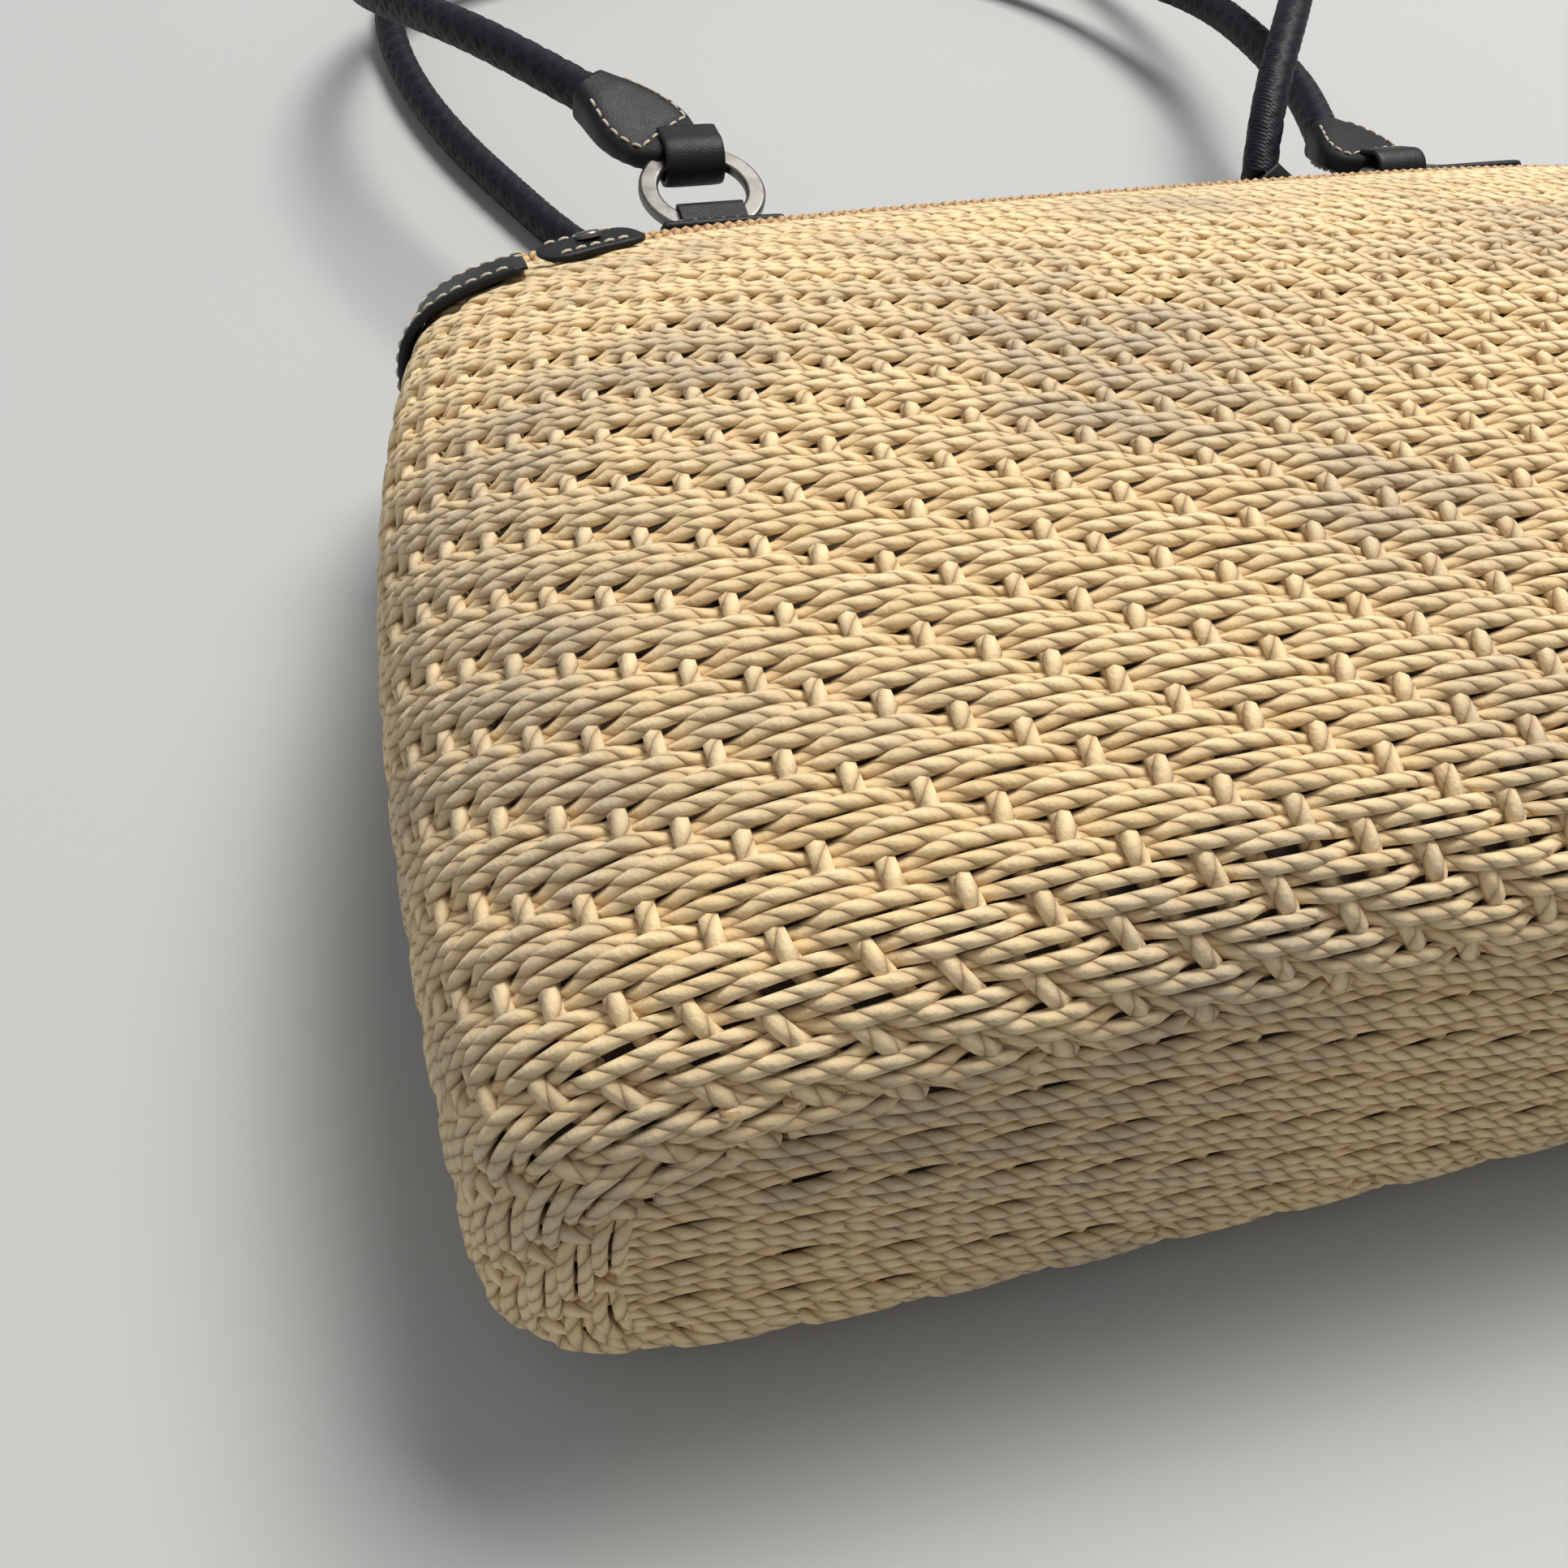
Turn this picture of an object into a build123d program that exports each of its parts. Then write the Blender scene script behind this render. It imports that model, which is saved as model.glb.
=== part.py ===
"""A woven beach bag lying on its back panel: cord basket, leather trims, rings and two rope handles.

Frame: X across the bag, +Y from the bottom panel to the mouth, +Z up. The front panel is on top.
All sizes are in millimetres.
"""

from build123d import *
from math import atan2, cos, degrees, pi, radians, sin, tan
import os

# ---- driving sizes of the woven bag -------------------------------------------------------------
bag_height = 260.0  # bottom panel to the end of the rim
bottom_width = 424.0
middle_width = 420.0
rim_width = 360.0
bottom_thickness = 104.0
middle_thickness = 116.0
rim_thickness = 62.0
rim_lift = 4.0  # the back rim stands this far off the ground
bottom_split = 0.5  # share of a section's thickness that lies below its widest line
middle_split = 0.5
rim_split = 0.7
front_fullness = 3.2  # exponent of the front half of a section: higher is squarer
back_fullness = 6.0  # the back half is pressed flat by the ground
wall = 5.0
bottom_radius = 20.0
outline_points_count = 32

# ---- trims --------------------------------------------------------------------------------------
gap = 0.3  # between pieces that are sewn or laid on each other
roll_height = 9.0  # rolled edge of the mouth, along Y
roll_proud = 0.8  # how far it stands outside the weave
roll_inner = 5.5  # how deep it reaches inside the weave's outer face
roll_round = 0.8  # how far its outer edge draws in at the end
lining_wall = 0.8
board_thickness = 2.0
board_margin = 4.0
facing_inset = 11.6
facing_wall = 1.5
facing_depth = 30.0
facing_proud = 1.0
belt_width = 26.0
belt_from_rim = 18.0
belt_thickness = 2.2
belt_front_reach = 22.0  # how far it comes round on to the front and the back
tongue_length = 26.0
tongue_width = 12.0
tongue_thickness = 2.0
tongue_slant = 18.0  # degrees, rising towards the mouth
tongue_lift = 1.2  # clears the curved weave under it
rivet_radius = 3.0
rivet_head = 1.4
rivet_inset = 8.0

# ---- handle hardware ----------------------------------------------------------------------------
front_tab_x = 109.0
back_tab_x = 100.0
tab_base_width = 32.0
tab_tail_width = 24.0
tab_tail_depth = 4.6
tab_tail_top = -7.15  # under the rolled edge, measured from its outer face
tab_leather = 1.4
flange_start = 0.4
flange_leather = 2.0
flange_rise = 3.0
flex_outward = 6.0  # the tab's bend line, beyond the rim
flex_depth = 7.0  # and below the rolled edge's outer face
loop_width = 17.0
loop_radius = 3.3  # half its outer height
ring_outer = 16.5
ring_inner = 11.5
ring_thickness = 3.0
ring_clearance = 0.25
ring_edge_round = 0.9
chape_loop_radius = 6.6
chape_bore_radius = 4.8
chape_loop_width = 16.0
chape_bar = 12.4  # ring centre to the axis that the chape turns on
chape_half_thickness = 6.2
chape_edge_round = 2.5
chape_widest = 12.6
chape_neck = 8.6
chape_tip = 6.9
rope_diameter = 11.0

# Elevations of the four rings at rest, in degrees above level.
ring_elevation = {"front_left": 12.0, "front_right": -20.0, "back_left": -1.0, "back_right": -1.0}

# ---- closure ------------------------------------------------------------------------------------
closure_x = 4.0
closure_width = 66.0
closure_length = 49.0
closure_thickness = 2.4
closure_lean = 12.0  # degrees outward from upright
closure_hinge_y = 3.2  # beyond the rim
closure_hinge_z = 8.0  # above the back rim's outer face
snap_radius = 8.0
snap_thickness = 2.0
snap_from_tip = 15.0
patch_width = 44.0
patch_depth = 26.0
patch_thickness = 1.6
patch_inset = 2.6  # below the facing, at its middle

# ---- handle ropes, from chape to chape ----------------------------------------------------------
front_route = [
    (-130.0, 323.0, 71.0),
    (-147.0, 356.0, 70.5),
    (-161.0, 388.0, 66.5),
    (-172.0, 420.0, 59.5),
    (-178.0, 456.0, 50.0),
    (-176.0, 496.0, 40.0),
    (-162.0, 536.0, 31.0),
    (-132.0, 569.0, 21.0),
    (-88.0, 590.0, 12.0),
    (-38.0, 600.0, 6.5),
    (10.0, 598.0, 6.4),
    (56.0, 583.0, 7.5),
    (92.0, 560.0, 12.0),
    (118.0, 525.0, 20.0),
    (129.0, 488.0, 28.0),
    (131.0, 450.0, 34.0),
    (127.0, 414.0, 38.0),
    (121.5, 383.0, 40.5),
    (115.0, 354.0, 42.5),
    (104.0, 325.0, 44.0),
]
back_route = [
    (-117.0, 336.0, 8.0),
    (-130.0, 366.0, 6.4),
    (-141.0, 398.0, 6.4),
    (-152.0, 432.0, 6.4),
    (-160.0, 468.0, 6.4),
    (-164.0, 505.0, 6.4),
    (-163.0, 543.0, 6.4),
    (-153.0, 580.0, 6.4),
    (-130.0, 612.0, 6.4),
    (-92.0, 635.0, 6.4),
    (-46.0, 645.0, 6.4),
    (6.0, 646.0, 6.4),
    (56.0, 636.0, 6.5),
    (98.0, 615.0, 10.0),
    (128.0, 585.0, 17.0),
    (144.0, 547.0, 28.0),
    (148.0, 505.0, 42.0),
    (144.0, 460.0, 55.0),
    (134.0, 420.0, 64.0),
    (121.0, 386.0, 66.0),
    (107.0, 365.0, 64.0),
    (94.0, 346.0, 58.0),
    (84.0, 329.0, 48.0),
    (79.0, 317.0, 36.5),
]

# ---- places worked out from the sizes above -----------------------------------------------------
far_ring_reach = flex_outward + loop_radius + 2 * ring_outer - 1.6
bag_length = bag_height + far_ring_reach
bottom_y = -bag_length / 2
rim_y = bottom_y + bag_height
route_shift = bottom_y  # the routes count Y from the bottom panel


def blend(low, middle, high, share):
    """Quadratic through three values at shares 0, 1/2 and 1."""
    at_low = low * (1 - share) * (1 - 2 * share)
    at_middle = middle * 4 * share * (1 - share)
    at_high = high * share * (2 * share - 1)
    return at_low + at_middle + at_high


def half_width(y):
    share = (y - bottom_y) / bag_height
    return blend(bottom_width, middle_width, rim_width, share) / 2


def half_thickness(y):
    share = (y - bottom_y) / bag_height
    return blend(bottom_thickness, middle_thickness, rim_thickness, share) / 2


def split_share(y):
    share = (y - bottom_y) / bag_height
    return blend(bottom_split, middle_split, rim_split, share)


def back_depth(y):
    return 2 * half_thickness(y) * split_share(y)


def front_depth(y):
    return 2 * half_thickness(y) * (1 - split_share(y))


def widest_height(y):
    """Height of the widest line of a section."""
    share = (y - bottom_y) / bag_height
    return rim_lift * share**3 + back_depth(y)


def front_height(x, y, inset=0.0):
    """Height of the front face at x, y."""
    across = min(abs(x) / (half_width(y) - inset), 1.0)
    rise = (1 - across**front_fullness) ** (1 / front_fullness)
    return widest_height(y) + (front_depth(y) - inset) * rise


def back_height(x, y, inset=0.0):
    """Height of the back face at x, y."""
    across = min(abs(x) / (half_width(y) - inset), 1.0)
    drop = (1 - across**back_fullness) ** (1 / back_fullness)
    return widest_height(y) - (back_depth(y) - inset) * drop


def outline_points(y, inset):
    """Points round a section: a rounded figure, fuller at the back than at the front."""
    points = []
    for step in range(outline_points_count):
        angle = 2 * pi * step / outline_points_count
        fullness = front_fullness if sin(angle) >= 0 else back_fullness
        reach = (abs(cos(angle)) ** fullness + abs(sin(angle)) ** fullness) ** (-1 / fullness)
        x = (half_width(y) - inset) * reach * cos(angle)
        depth = front_depth(y) if sin(angle) >= 0 else back_depth(y)
        z = widest_height(y) + (depth - inset) * reach * sin(angle)
        points.append((x, z))
    return points


def bag_section(y, inset):
    """Closed section of the bag across Y, moved inward by inset."""
    with BuildSketch(Plane.XZ.offset(-y)) as section:
        with BuildLine():
            Spline(*outline_points(y, inset), periodic=True)
        make_face()
    return section.sketch


def stations(start, end, count):
    return [start + (end - start) * step / (count - 1) for step in range(count)]


def rounded_end(start, inset, radius):
    """Sections that round the edge of the bottom panel, from its flat face to the side walls."""
    sections = [bag_section(start, inset + radius * 0.79)]
    for angle in (34, 56, 74, 90):
        y = start + radius * (1 - cos(radians(angle)))
        sections.append(bag_section(y, inset + radius * (1 - sin(radians(angle)))))
    return sections


def side_walls(start, end, inset):
    """Sections of the side walls from start to end."""
    return [bag_section(y, inset) for y in stations(start, end, 6)]


def front_seat(x, y, lift):
    """Plane that touches the front face at x, y and stands lift above it."""
    step = 2.0
    base = Vector(x, y, front_height(x, y))
    along_x = Vector(x + step, y, front_height(x + step, y)) - base
    along_y = Vector(x, y + step, front_height(x, y + step)) - base
    normal = along_x.cross(along_y).normalized()
    return Plane(origin=base + normal * lift, x_dir=along_x, z_dir=normal)


# ---- woven body ---------------------------------------------------------------------------------
body_end = rim_y - roll_height
with BuildPart() as woven_body:
    loft(sections=rounded_end(bottom_y, 0, bottom_radius))
    loft(sections=side_walls(bottom_y + bottom_radius, body_end, 0))
    loft(sections=rounded_end(bottom_y + wall, wall, bottom_radius - wall), mode=Mode.SUBTRACT)
    loft(sections=side_walls(bottom_y + bottom_radius, rim_y, wall), mode=Mode.SUBTRACT)
woven_body.part.label = "woven_body"

# ---- rolled edge of the mouth -------------------------------------------------------------------
roll_middle = rim_y - roll_height / 2
with BuildPart() as rim_roll:
    loft(
        sections=[
            bag_section(body_end, 0),
            bag_section(roll_middle, -roll_proud),
            bag_section(rim_y, roll_round),
        ]
    )
    loft(sections=[bag_section(y, roll_inner) for y in (body_end, rim_y)], mode=Mode.SUBTRACT)
rim_roll.part.label = "rim_roll"

# ---- stiffener board, lining and leather facing -------------------------------------------------
board_inset = wall + bottom_radius - wall + board_margin
with BuildPart() as base_board:
    with BuildSketch(Plane.XZ.offset(-(bottom_y + wall + gap))):
        add(bag_section(bottom_y, board_inset))
    extrude(amount=-board_thickness)
base_board.part.label = "base_board"

lining_inset = wall + gap
lining_bottom = bottom_y + wall + gap + board_thickness + gap
lining_end = rim_y - roll_height - 2 * gap
lining_radius = bottom_radius - lining_inset
lining_shoulder = lining_bottom + lining_radius
hollow_start = lining_bottom + lining_wall
hollow_inset = lining_inset + lining_wall
hollow_radius = lining_radius - lining_wall
with BuildPart() as lining:
    loft(sections=rounded_end(lining_bottom, lining_inset, lining_radius))
    loft(sections=side_walls(lining_shoulder, lining_end, lining_inset))
    loft(sections=rounded_end(hollow_start, hollow_inset, hollow_radius), mode=Mode.SUBTRACT)
    loft(sections=side_walls(lining_shoulder, rim_y, hollow_inset), mode=Mode.SUBTRACT)
lining.part.label = "lining"

with BuildPart() as mouth_facing:
    facing_span = (rim_y - facing_depth, rim_y - roll_height, rim_y + facing_proud)
    loft(sections=[bag_section(y, facing_inset) for y in facing_span])
    inner = facing_inset + facing_wall
    loft(sections=[bag_section(y, inner) for y in facing_span], mode=Mode.SUBTRACT)
mouth_facing.part.label = "mouth_facing"

# ---- side belts, their tongues and rivets -------------------------------------------------------
belt_top = rim_y - belt_from_rim
belts = {}
for side, sign in (("left", -1), ("right", 1)):
    with BuildPart() as belt:
        belt_span = stations(belt_top - belt_width, belt_top, 3)
        loft(sections=[bag_section(y, -gap - belt_thickness) for y in belt_span])
        loft(sections=[bag_section(y, -gap) for y in belt_span], mode=Mode.SUBTRACT)
        kept = belt_front_reach + belt_thickness
        with Locations((sign * (half_width(belt_top) + belt_thickness), belt_top, 0)):
            Box(2 * kept, 4 * belt_width, 6 * rim_thickness, mode=Mode.INTERSECT)
    belt.part.label = "belt_" + side
    belts[side] = belt

tongues = {}
rivet_solids = []
tongue_y = belt_top - belt_width / 2 + 2.0
for side, sign in (("left", -1), ("right", 1)):
    inner_end = half_width(belt_top) - belt_front_reach
    tongue_x = sign * (inner_end - gap - tongue_length / 2 - 1.5)
    seat = front_seat(tongue_x, tongue_y, tongue_lift)
    with BuildPart() as tongue:
        with BuildSketch(seat):
            with Locations(Rotation(0, 0, -sign * tongue_slant)):
                SlotOverall(tongue_length, tongue_width)
        extrude(amount=tongue_thickness)
    tongue.part.label = "tongue_" + side
    tongues[side] = tongue
    with BuildPart() as rivet:
        with BuildSketch(seat.offset(tongue_thickness)):
            Circle(rivet_radius)
        extrude(amount=rivet_head)
        fillet(rivet.faces().sort_by(Axis.Z)[-1].edges(), rivet_head * 0.6)
    rivet_solids.append(rivet.part)
tongue_rivets = Compound(children=rivet_solids, label="tongue_rivets")

# ---- handle hardware: tab bases, tab loops and rings --------------------------------------------
corners = {
    "front_left": (-front_tab_x, 1),
    "front_right": (front_tab_x, 1),
    "back_left": (-back_tab_x, -1),
    "back_right": (back_tab_x, -1),
}


def rim_face_height(x, up):
    """Height of the rolled edge's outer face at the rim, on the front (up 1) or the back (up -1)."""
    if up > 0:
        return front_height(x, rim_y, -roll_proud)
    return back_height(x, rim_y, -roll_proud)


def flex_point(corner):
    """Where the tab's bend line passes the middle of the tab."""
    x, up = corners[corner]
    return Vector(x, rim_y + flex_outward, rim_face_height(x, up) - up * flex_depth)


def ring_plane(corner):
    """Plane of a ring: its origin on the bend line, local Y pointing out along the tab."""
    lift = radians(ring_elevation[corner])
    normal = Vector(0, -sin(lift), cos(lift))
    return Plane(origin=flex_point(corner), x_dir=(1, 0, 0), z_dir=normal)


ring_near_edge = 1.9  # from the bend line to the ring's outer edge
ring_centre = ring_near_edge + ring_outer
cavity_half = ring_thickness / 2 + ring_clearance
loop_half_width = loop_width / 2
ring_inner_at_loop = (ring_inner**2 - loop_half_width**2) ** 0.5
cavity_start = ring_near_edge - ring_clearance
cavity_end = ring_centre - ring_inner_at_loop + ring_clearance
loop_end = cavity_end + loop_radius - cavity_half

tab_bases = {}
tab_loops = {}
rings = {}
for corner, (x, up) in corners.items():
    face = rim_face_height(x, up)
    seat = Plane(origin=(x, rim_y, face), x_dir=(up, 0, 0), z_dir=(0, 0, up))
    tail_low = tab_tail_top - tab_leather
    with BuildPart() as base:
        with Locations(seat):
            with Locations((0, (flange_start - tab_tail_depth) / 2, tail_low)):
                Box(
                    tab_tail_width,
                    tab_tail_depth + flange_start,
                    tab_leather,
                    align=(Align.CENTER, Align.CENTER, Align.MIN),
                )
            with Locations((0, flange_start, tail_low)):
                Box(
                    tab_base_width,
                    flange_leather,
                    flange_rise - tail_low,
                    align=(Align.CENTER, Align.MIN, Align.MIN),
                )
        fillet(base.edges().filter_by(Axis.Y).group_by(Axis.Z)[-1 if up > 0 else 0], 2.5)
    base.part.label = "tab_base_" + corner
    tab_bases[corner] = base

    plane = ring_plane(corner)
    side_plane = Plane(origin=plane.origin, x_dir=plane.y_dir, z_dir=(1, 0, 0))
    with BuildPart() as loop:
        with BuildSketch(side_plane):
            with Locations((loop_end / 2 - loop_radius / 2, 0)):
                SlotOverall(loop_end + loop_radius, 2 * loop_radius)
            with Locations(((cavity_start + cavity_end) / 2, 0)):
                Rectangle(cavity_end - cavity_start, 2 * cavity_half, mode=Mode.SUBTRACT)
        extrude(amount=loop_half_width, both=True)
    loop.part.label = "tab_loop_" + corner
    tab_loops[corner] = loop

    with BuildPart() as ring:
        with BuildSketch(plane.offset(-ring_thickness / 2)):
            with Locations((0, ring_centre)):
                Circle(ring_outer)
                Circle(ring_inner, mode=Mode.SUBTRACT)
        extrude(amount=ring_thickness)
        fillet(ring.edges(), ring_edge_round)
    ring.part.label = "ring_" + corner
    rings[corner] = ring

# ---- chapes: leather ends that fold round the rings and hold the ropes -------------------------
rope_ends = {
    "front_left": Vector(*front_route[0]) + Vector(0, route_shift, 0),
    "front_right": Vector(*front_route[-1]) + Vector(0, route_shift, 0),
    "back_left": Vector(*back_route[0]) + Vector(0, route_shift, 0),
    "back_right": Vector(*back_route[-1]) + Vector(0, route_shift, 0),
}


def chape_axis_point(corner):
    """Point on the axis that a chape turns on: the middle of the ring's far side."""
    plane = ring_plane(corner)
    return plane.origin + plane.y_dir * (ring_centre + chape_bar)


chapes = {}
for corner in corners:
    pivot = chape_axis_point(corner)
    reach = rope_ends[corner] - pivot
    level = Vector(0, reach.Y, reach.Z)
    lean = atan2(reach.X, level.length)
    normal = Vector(1, 0, 0).cross(level.normalized())
    plane = Plane(origin=pivot, x_dir=(1, 0, 0), z_dir=normal)
    length = reach.length
    along = Vector(sin(lean), cos(lean))
    across = Vector(cos(lean), -sin(lean))
    profile = [(0.14, chape_neck), (0.36, chape_widest), (0.6, chape_widest - 0.8)]
    profile += [(0.82, chape_tip + 2.0), (1.0, chape_tip)]
    right = [along * (length * share) + across * half for share, half in profile]
    left = [along * (length * share) - across * half for share, half in profile]
    with BuildPart() as chape:
        with BuildSketch(plane.offset(-chape_half_thickness)):
            with BuildLine():
                Spline(*right)
                Line(right[-1], left[-1])
                Spline(*left)
                Line(left[0], right[0])
            make_face()
        extrude(amount=2 * chape_half_thickness)
        with BuildSketch(Plane(origin=pivot, x_dir=plane.y_dir, z_dir=(1, 0, 0))):
            Circle(chape_loop_radius)
            with Locations((chape_loop_radius / 2 + 1.5, 0)):
                Rectangle(chape_loop_radius + 3.0, 2 * chape_half_thickness)
        extrude(amount=chape_loop_width / 2, both=True)
        with Locations(plane):
            with Locations((0, -30.0 + 3.2, 0)):
                for sign in (-1, 1):
                    with Locations((sign * (chape_loop_width / 2 + 20.0), 0, 0)):
                        Box(40.0, 60.0, 40.0, mode=Mode.SUBTRACT)
        with BuildSketch(Plane(origin=pivot, x_dir=plane.y_dir, z_dir=(1, 0, 0))):
            Circle(chape_bore_radius)
        extrude(amount=chape_loop_width, both=True, mode=Mode.SUBTRACT)
    chape.part.label = "chape_" + corner
    chapes[corner] = chape

# ---- ropes --------------------------------------------------------------------------------------


def rope_bends(points):
    """Radius at each inner corner: 0.45 of the shorter run over the tangent of half the turn."""
    radii = []
    for before, here, after in zip(points, points[1:], points[2:]):
        turn = radians((here - before).get_angle(after - here))
        shorter = min((here - before).length, (after - here).length)
        radii.append(0.45 * shorter / tan(turn / 2))
    return radii


ropes = {}
for name, route in (("front", front_route), ("back", back_route)):
    points = [Vector(x, y + route_shift, z) for x, y, z in route]
    bends = rope_bends(points)
    with BuildPart() as rope:
        with BuildLine() as rope_line:
            FilletPolyline(*points, radius=bends)
        line = rope_line.wires()[0]
        with BuildSketch(Plane(origin=line @ 0, z_dir=line % 0)):
            Circle(rope_diameter / 2)
        sweep(path=line)
    rope.part.label = "rope_" + name
    ropes[name] = rope
    solid_share = rope.part.volume / (pi * rope_diameter**2 / 4 * line.length)
    print(f"rope {name}: length {line.length:.0f}, volume share {solid_share:.4f}")
    print("  radii", [round(value) for value in bends])

# ---- closure tab, its snap and the patch that carries the socket -------------------------------
closure_hinge = Vector(closure_x, rim_y + closure_hinge_y, back_height(0, rim_y) + closure_hinge_z)
closure_tilt = radians(closure_lean)
closure_along = Vector(0, sin(closure_tilt), cos(closure_tilt))
closure_plane = Plane(
    origin=closure_hinge,
    x_dir=(1, 0, 0),
    z_dir=Vector(1, 0, 0).cross(closure_along),
)
with BuildPart() as closure_tab:
    with BuildSketch(closure_plane):
        with BuildLine():
            straight = closure_length - closure_width / 2 * 0.55
            Polyline(
                (-closure_width / 2, straight),
                (-closure_width / 2, 0),
                (closure_width / 2, 0),
                (closure_width / 2, straight),
            )
            ThreePointArc(
                (closure_width / 2, straight),
                (0, closure_length),
                (-closure_width / 2, straight),
            )
        make_face()
    extrude(amount=closure_thickness)
closure_tab.part.label = "closure_tab"

with BuildPart() as snap_stud:
    with BuildSketch(closure_plane.offset(closure_thickness)):
        with Locations((0, closure_length - snap_from_tip)):
            Circle(snap_radius)
    extrude(amount=snap_thickness)
    with BuildSketch(closure_plane.offset(closure_thickness + snap_thickness)):
        with Locations((0, closure_length - snap_from_tip)):
            Circle(snap_radius / 2.5)
    extrude(amount=snap_thickness * 0.6)
snap_stud.part.label = "snap_stud"

patch_y = rim_y - patch_depth / 2 - 1.0
patch_top = (
    min(
        front_height(closure_x + patch_width / 2, rim_y, facing_inset + facing_wall),
        front_height(closure_x, patch_y, facing_inset + facing_wall),
    )
    - patch_inset
)
with BuildPart() as snap_patch:
    with BuildSketch(Plane.XY.offset(patch_top - patch_thickness)):
        with Locations((closure_x, patch_y)):
            RectangleRounded(patch_width, patch_depth, 6.0)
    extrude(amount=patch_thickness)
snap_patch.part.label = "snap_patch"

with BuildPart() as snap_socket:
    with BuildSketch(Plane.XY.offset(patch_top - patch_thickness - snap_thickness)):
        with Locations((closure_x, patch_y)):
            Circle(snap_radius)
            Circle(snap_radius / 2.2, mode=Mode.SUBTRACT)
    extrude(amount=snap_thickness)
snap_socket.part.label = "snap_socket"

# ---- write every piece --------------------------------------------------------------------------
os.makedirs("parts", exist_ok=True)
pieces = [woven_body, rim_roll, base_board, lining, mouth_facing]
pieces += [closure_tab, snap_stud, snap_patch, snap_socket]
for group in (belts, tongues, tab_bases, tab_loops, rings, chapes, ropes):
    pieces += list(group.values())
for piece in pieces:
    export_step(piece.part, f"parts/{piece.part.label}.step")
export_step(tongue_rivets, "parts/tongue_rivets.step")

for corner in corners:
    flex = flex_point(corner)
    pivot = chape_axis_point(corner)
    print(corner, "bend line", [round(v, 3) for v in flex], "chape axis", [round(v, 3) for v in pivot])
print("closure hinge", [round(v, 3) for v in closure_hinge], "rim_y", rim_y, "bottom_y", bottom_y)
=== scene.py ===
"""Looks of the woven beach bag: twisted cords, leather trims, rings, braided ropes and the lining.

The bag lies on its back panel. X runs across it, +Y from the bottom panel to the mouth, +Z up.
Lengths are metres unless a name says otherwise.
"""

from math import cos, pi, radians, sin

import bpy
import numpy as np
from mathutils import Matrix, Vector


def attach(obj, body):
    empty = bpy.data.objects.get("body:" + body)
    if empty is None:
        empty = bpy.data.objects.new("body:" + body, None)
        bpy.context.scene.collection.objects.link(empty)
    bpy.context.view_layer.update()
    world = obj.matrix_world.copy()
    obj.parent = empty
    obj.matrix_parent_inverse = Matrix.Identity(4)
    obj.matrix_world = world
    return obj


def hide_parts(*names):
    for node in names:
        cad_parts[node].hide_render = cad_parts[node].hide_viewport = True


bl_info = {
    "name": "Woven beach bag",
    "version": (1, 0, 0),
    "blender": (4, 5, 0),
    "location": "View3D > Sidebar > Beach bag",
    "description": "Builds the looks of a woven beach bag on its CAD frame",
    "category": "Object",
}

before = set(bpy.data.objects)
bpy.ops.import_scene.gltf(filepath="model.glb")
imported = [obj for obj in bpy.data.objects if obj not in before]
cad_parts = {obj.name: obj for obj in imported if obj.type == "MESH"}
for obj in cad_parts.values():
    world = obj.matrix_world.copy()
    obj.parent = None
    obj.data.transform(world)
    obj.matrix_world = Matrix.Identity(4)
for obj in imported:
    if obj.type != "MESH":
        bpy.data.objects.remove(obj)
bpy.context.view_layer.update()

# ---- form of the bag ----------------------------------------------------------------------------
BAG_HEIGHT = 0.260
BOTTOM_Y = -0.15035
RIM_Y = BOTTOM_Y + BAG_HEIGHT
ROLL_HEIGHT = 0.009
ROLL_PROUD = 0.0008
BODY_END = RIM_Y - ROLL_HEIGHT
BOTTOM_RADIUS = 0.020
WIDTHS = (0.424, 0.420, 0.360)
THICKNESSES = (0.104, 0.116, 0.062)
SPLITS = (0.5, 0.5, 0.7)
RIM_LIFT = 0.004
FRONT_FULLNESS = 3.2
BACK_FULLNESS = 6.0

# ---- weave --------------------------------------------------------------------------------------
WEAVE_BANDS = 4  # pieces that the woven cords are split into, to keep each one light
STAKE_GROUPS = 2  # and the stakes
CORD_SIDES = 6
FLOAT_STAKES = 3.0  # a cord passes over two stakes and under the third
DIP_DEPTH = 0.0021
STAKE_DEPTH = 0.0036
STAKE_RISE = 0.0016

# ---- bottom panel -------------------------------------------------------------------------------
BOTTOM_CORD_PITCH = 0.0026
BOTTOM_SWING = 0.00095  # how far a pair's cords swing apart and together
BOTTOM_WAVE = 0.034  # length of one such swing
BOTTOM_STAKE_PITCH = 0.0089
BOTTOM_STAKE_REACH = 0.178

# ---- leather ------------------------------------------------------------------------------------
BELT_TOP = RIM_Y - 0.018
BELT_HALF_WIDTH = 0.013
BELT_FRONT_REACH = 0.022
TONGUE_HALF_LENGTH = 0.013
TONGUE_SLANT = 18.0  # degrees, rising towards the mouth
BEND_BEYOND_RIM = 0.006  # the line where a tab bends, beyond the rim
BEND_UNDER_FACE = 0.007  # and below the rolled edge's outer face
CHAPE_AXIS_FROM_BEND = 0.0308
RING_LOOP_RADIUS = 0.0057  # of the chape's strap where it goes round the ring
PAD_ROUNDNESS = 3.2  # exponent of a chape's section: higher is squarer

# ---- handle ropes -------------------------------------------------------------------------------
BRAID_RELIEF = 0.13  # share of the radius that the strands rise over

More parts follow.
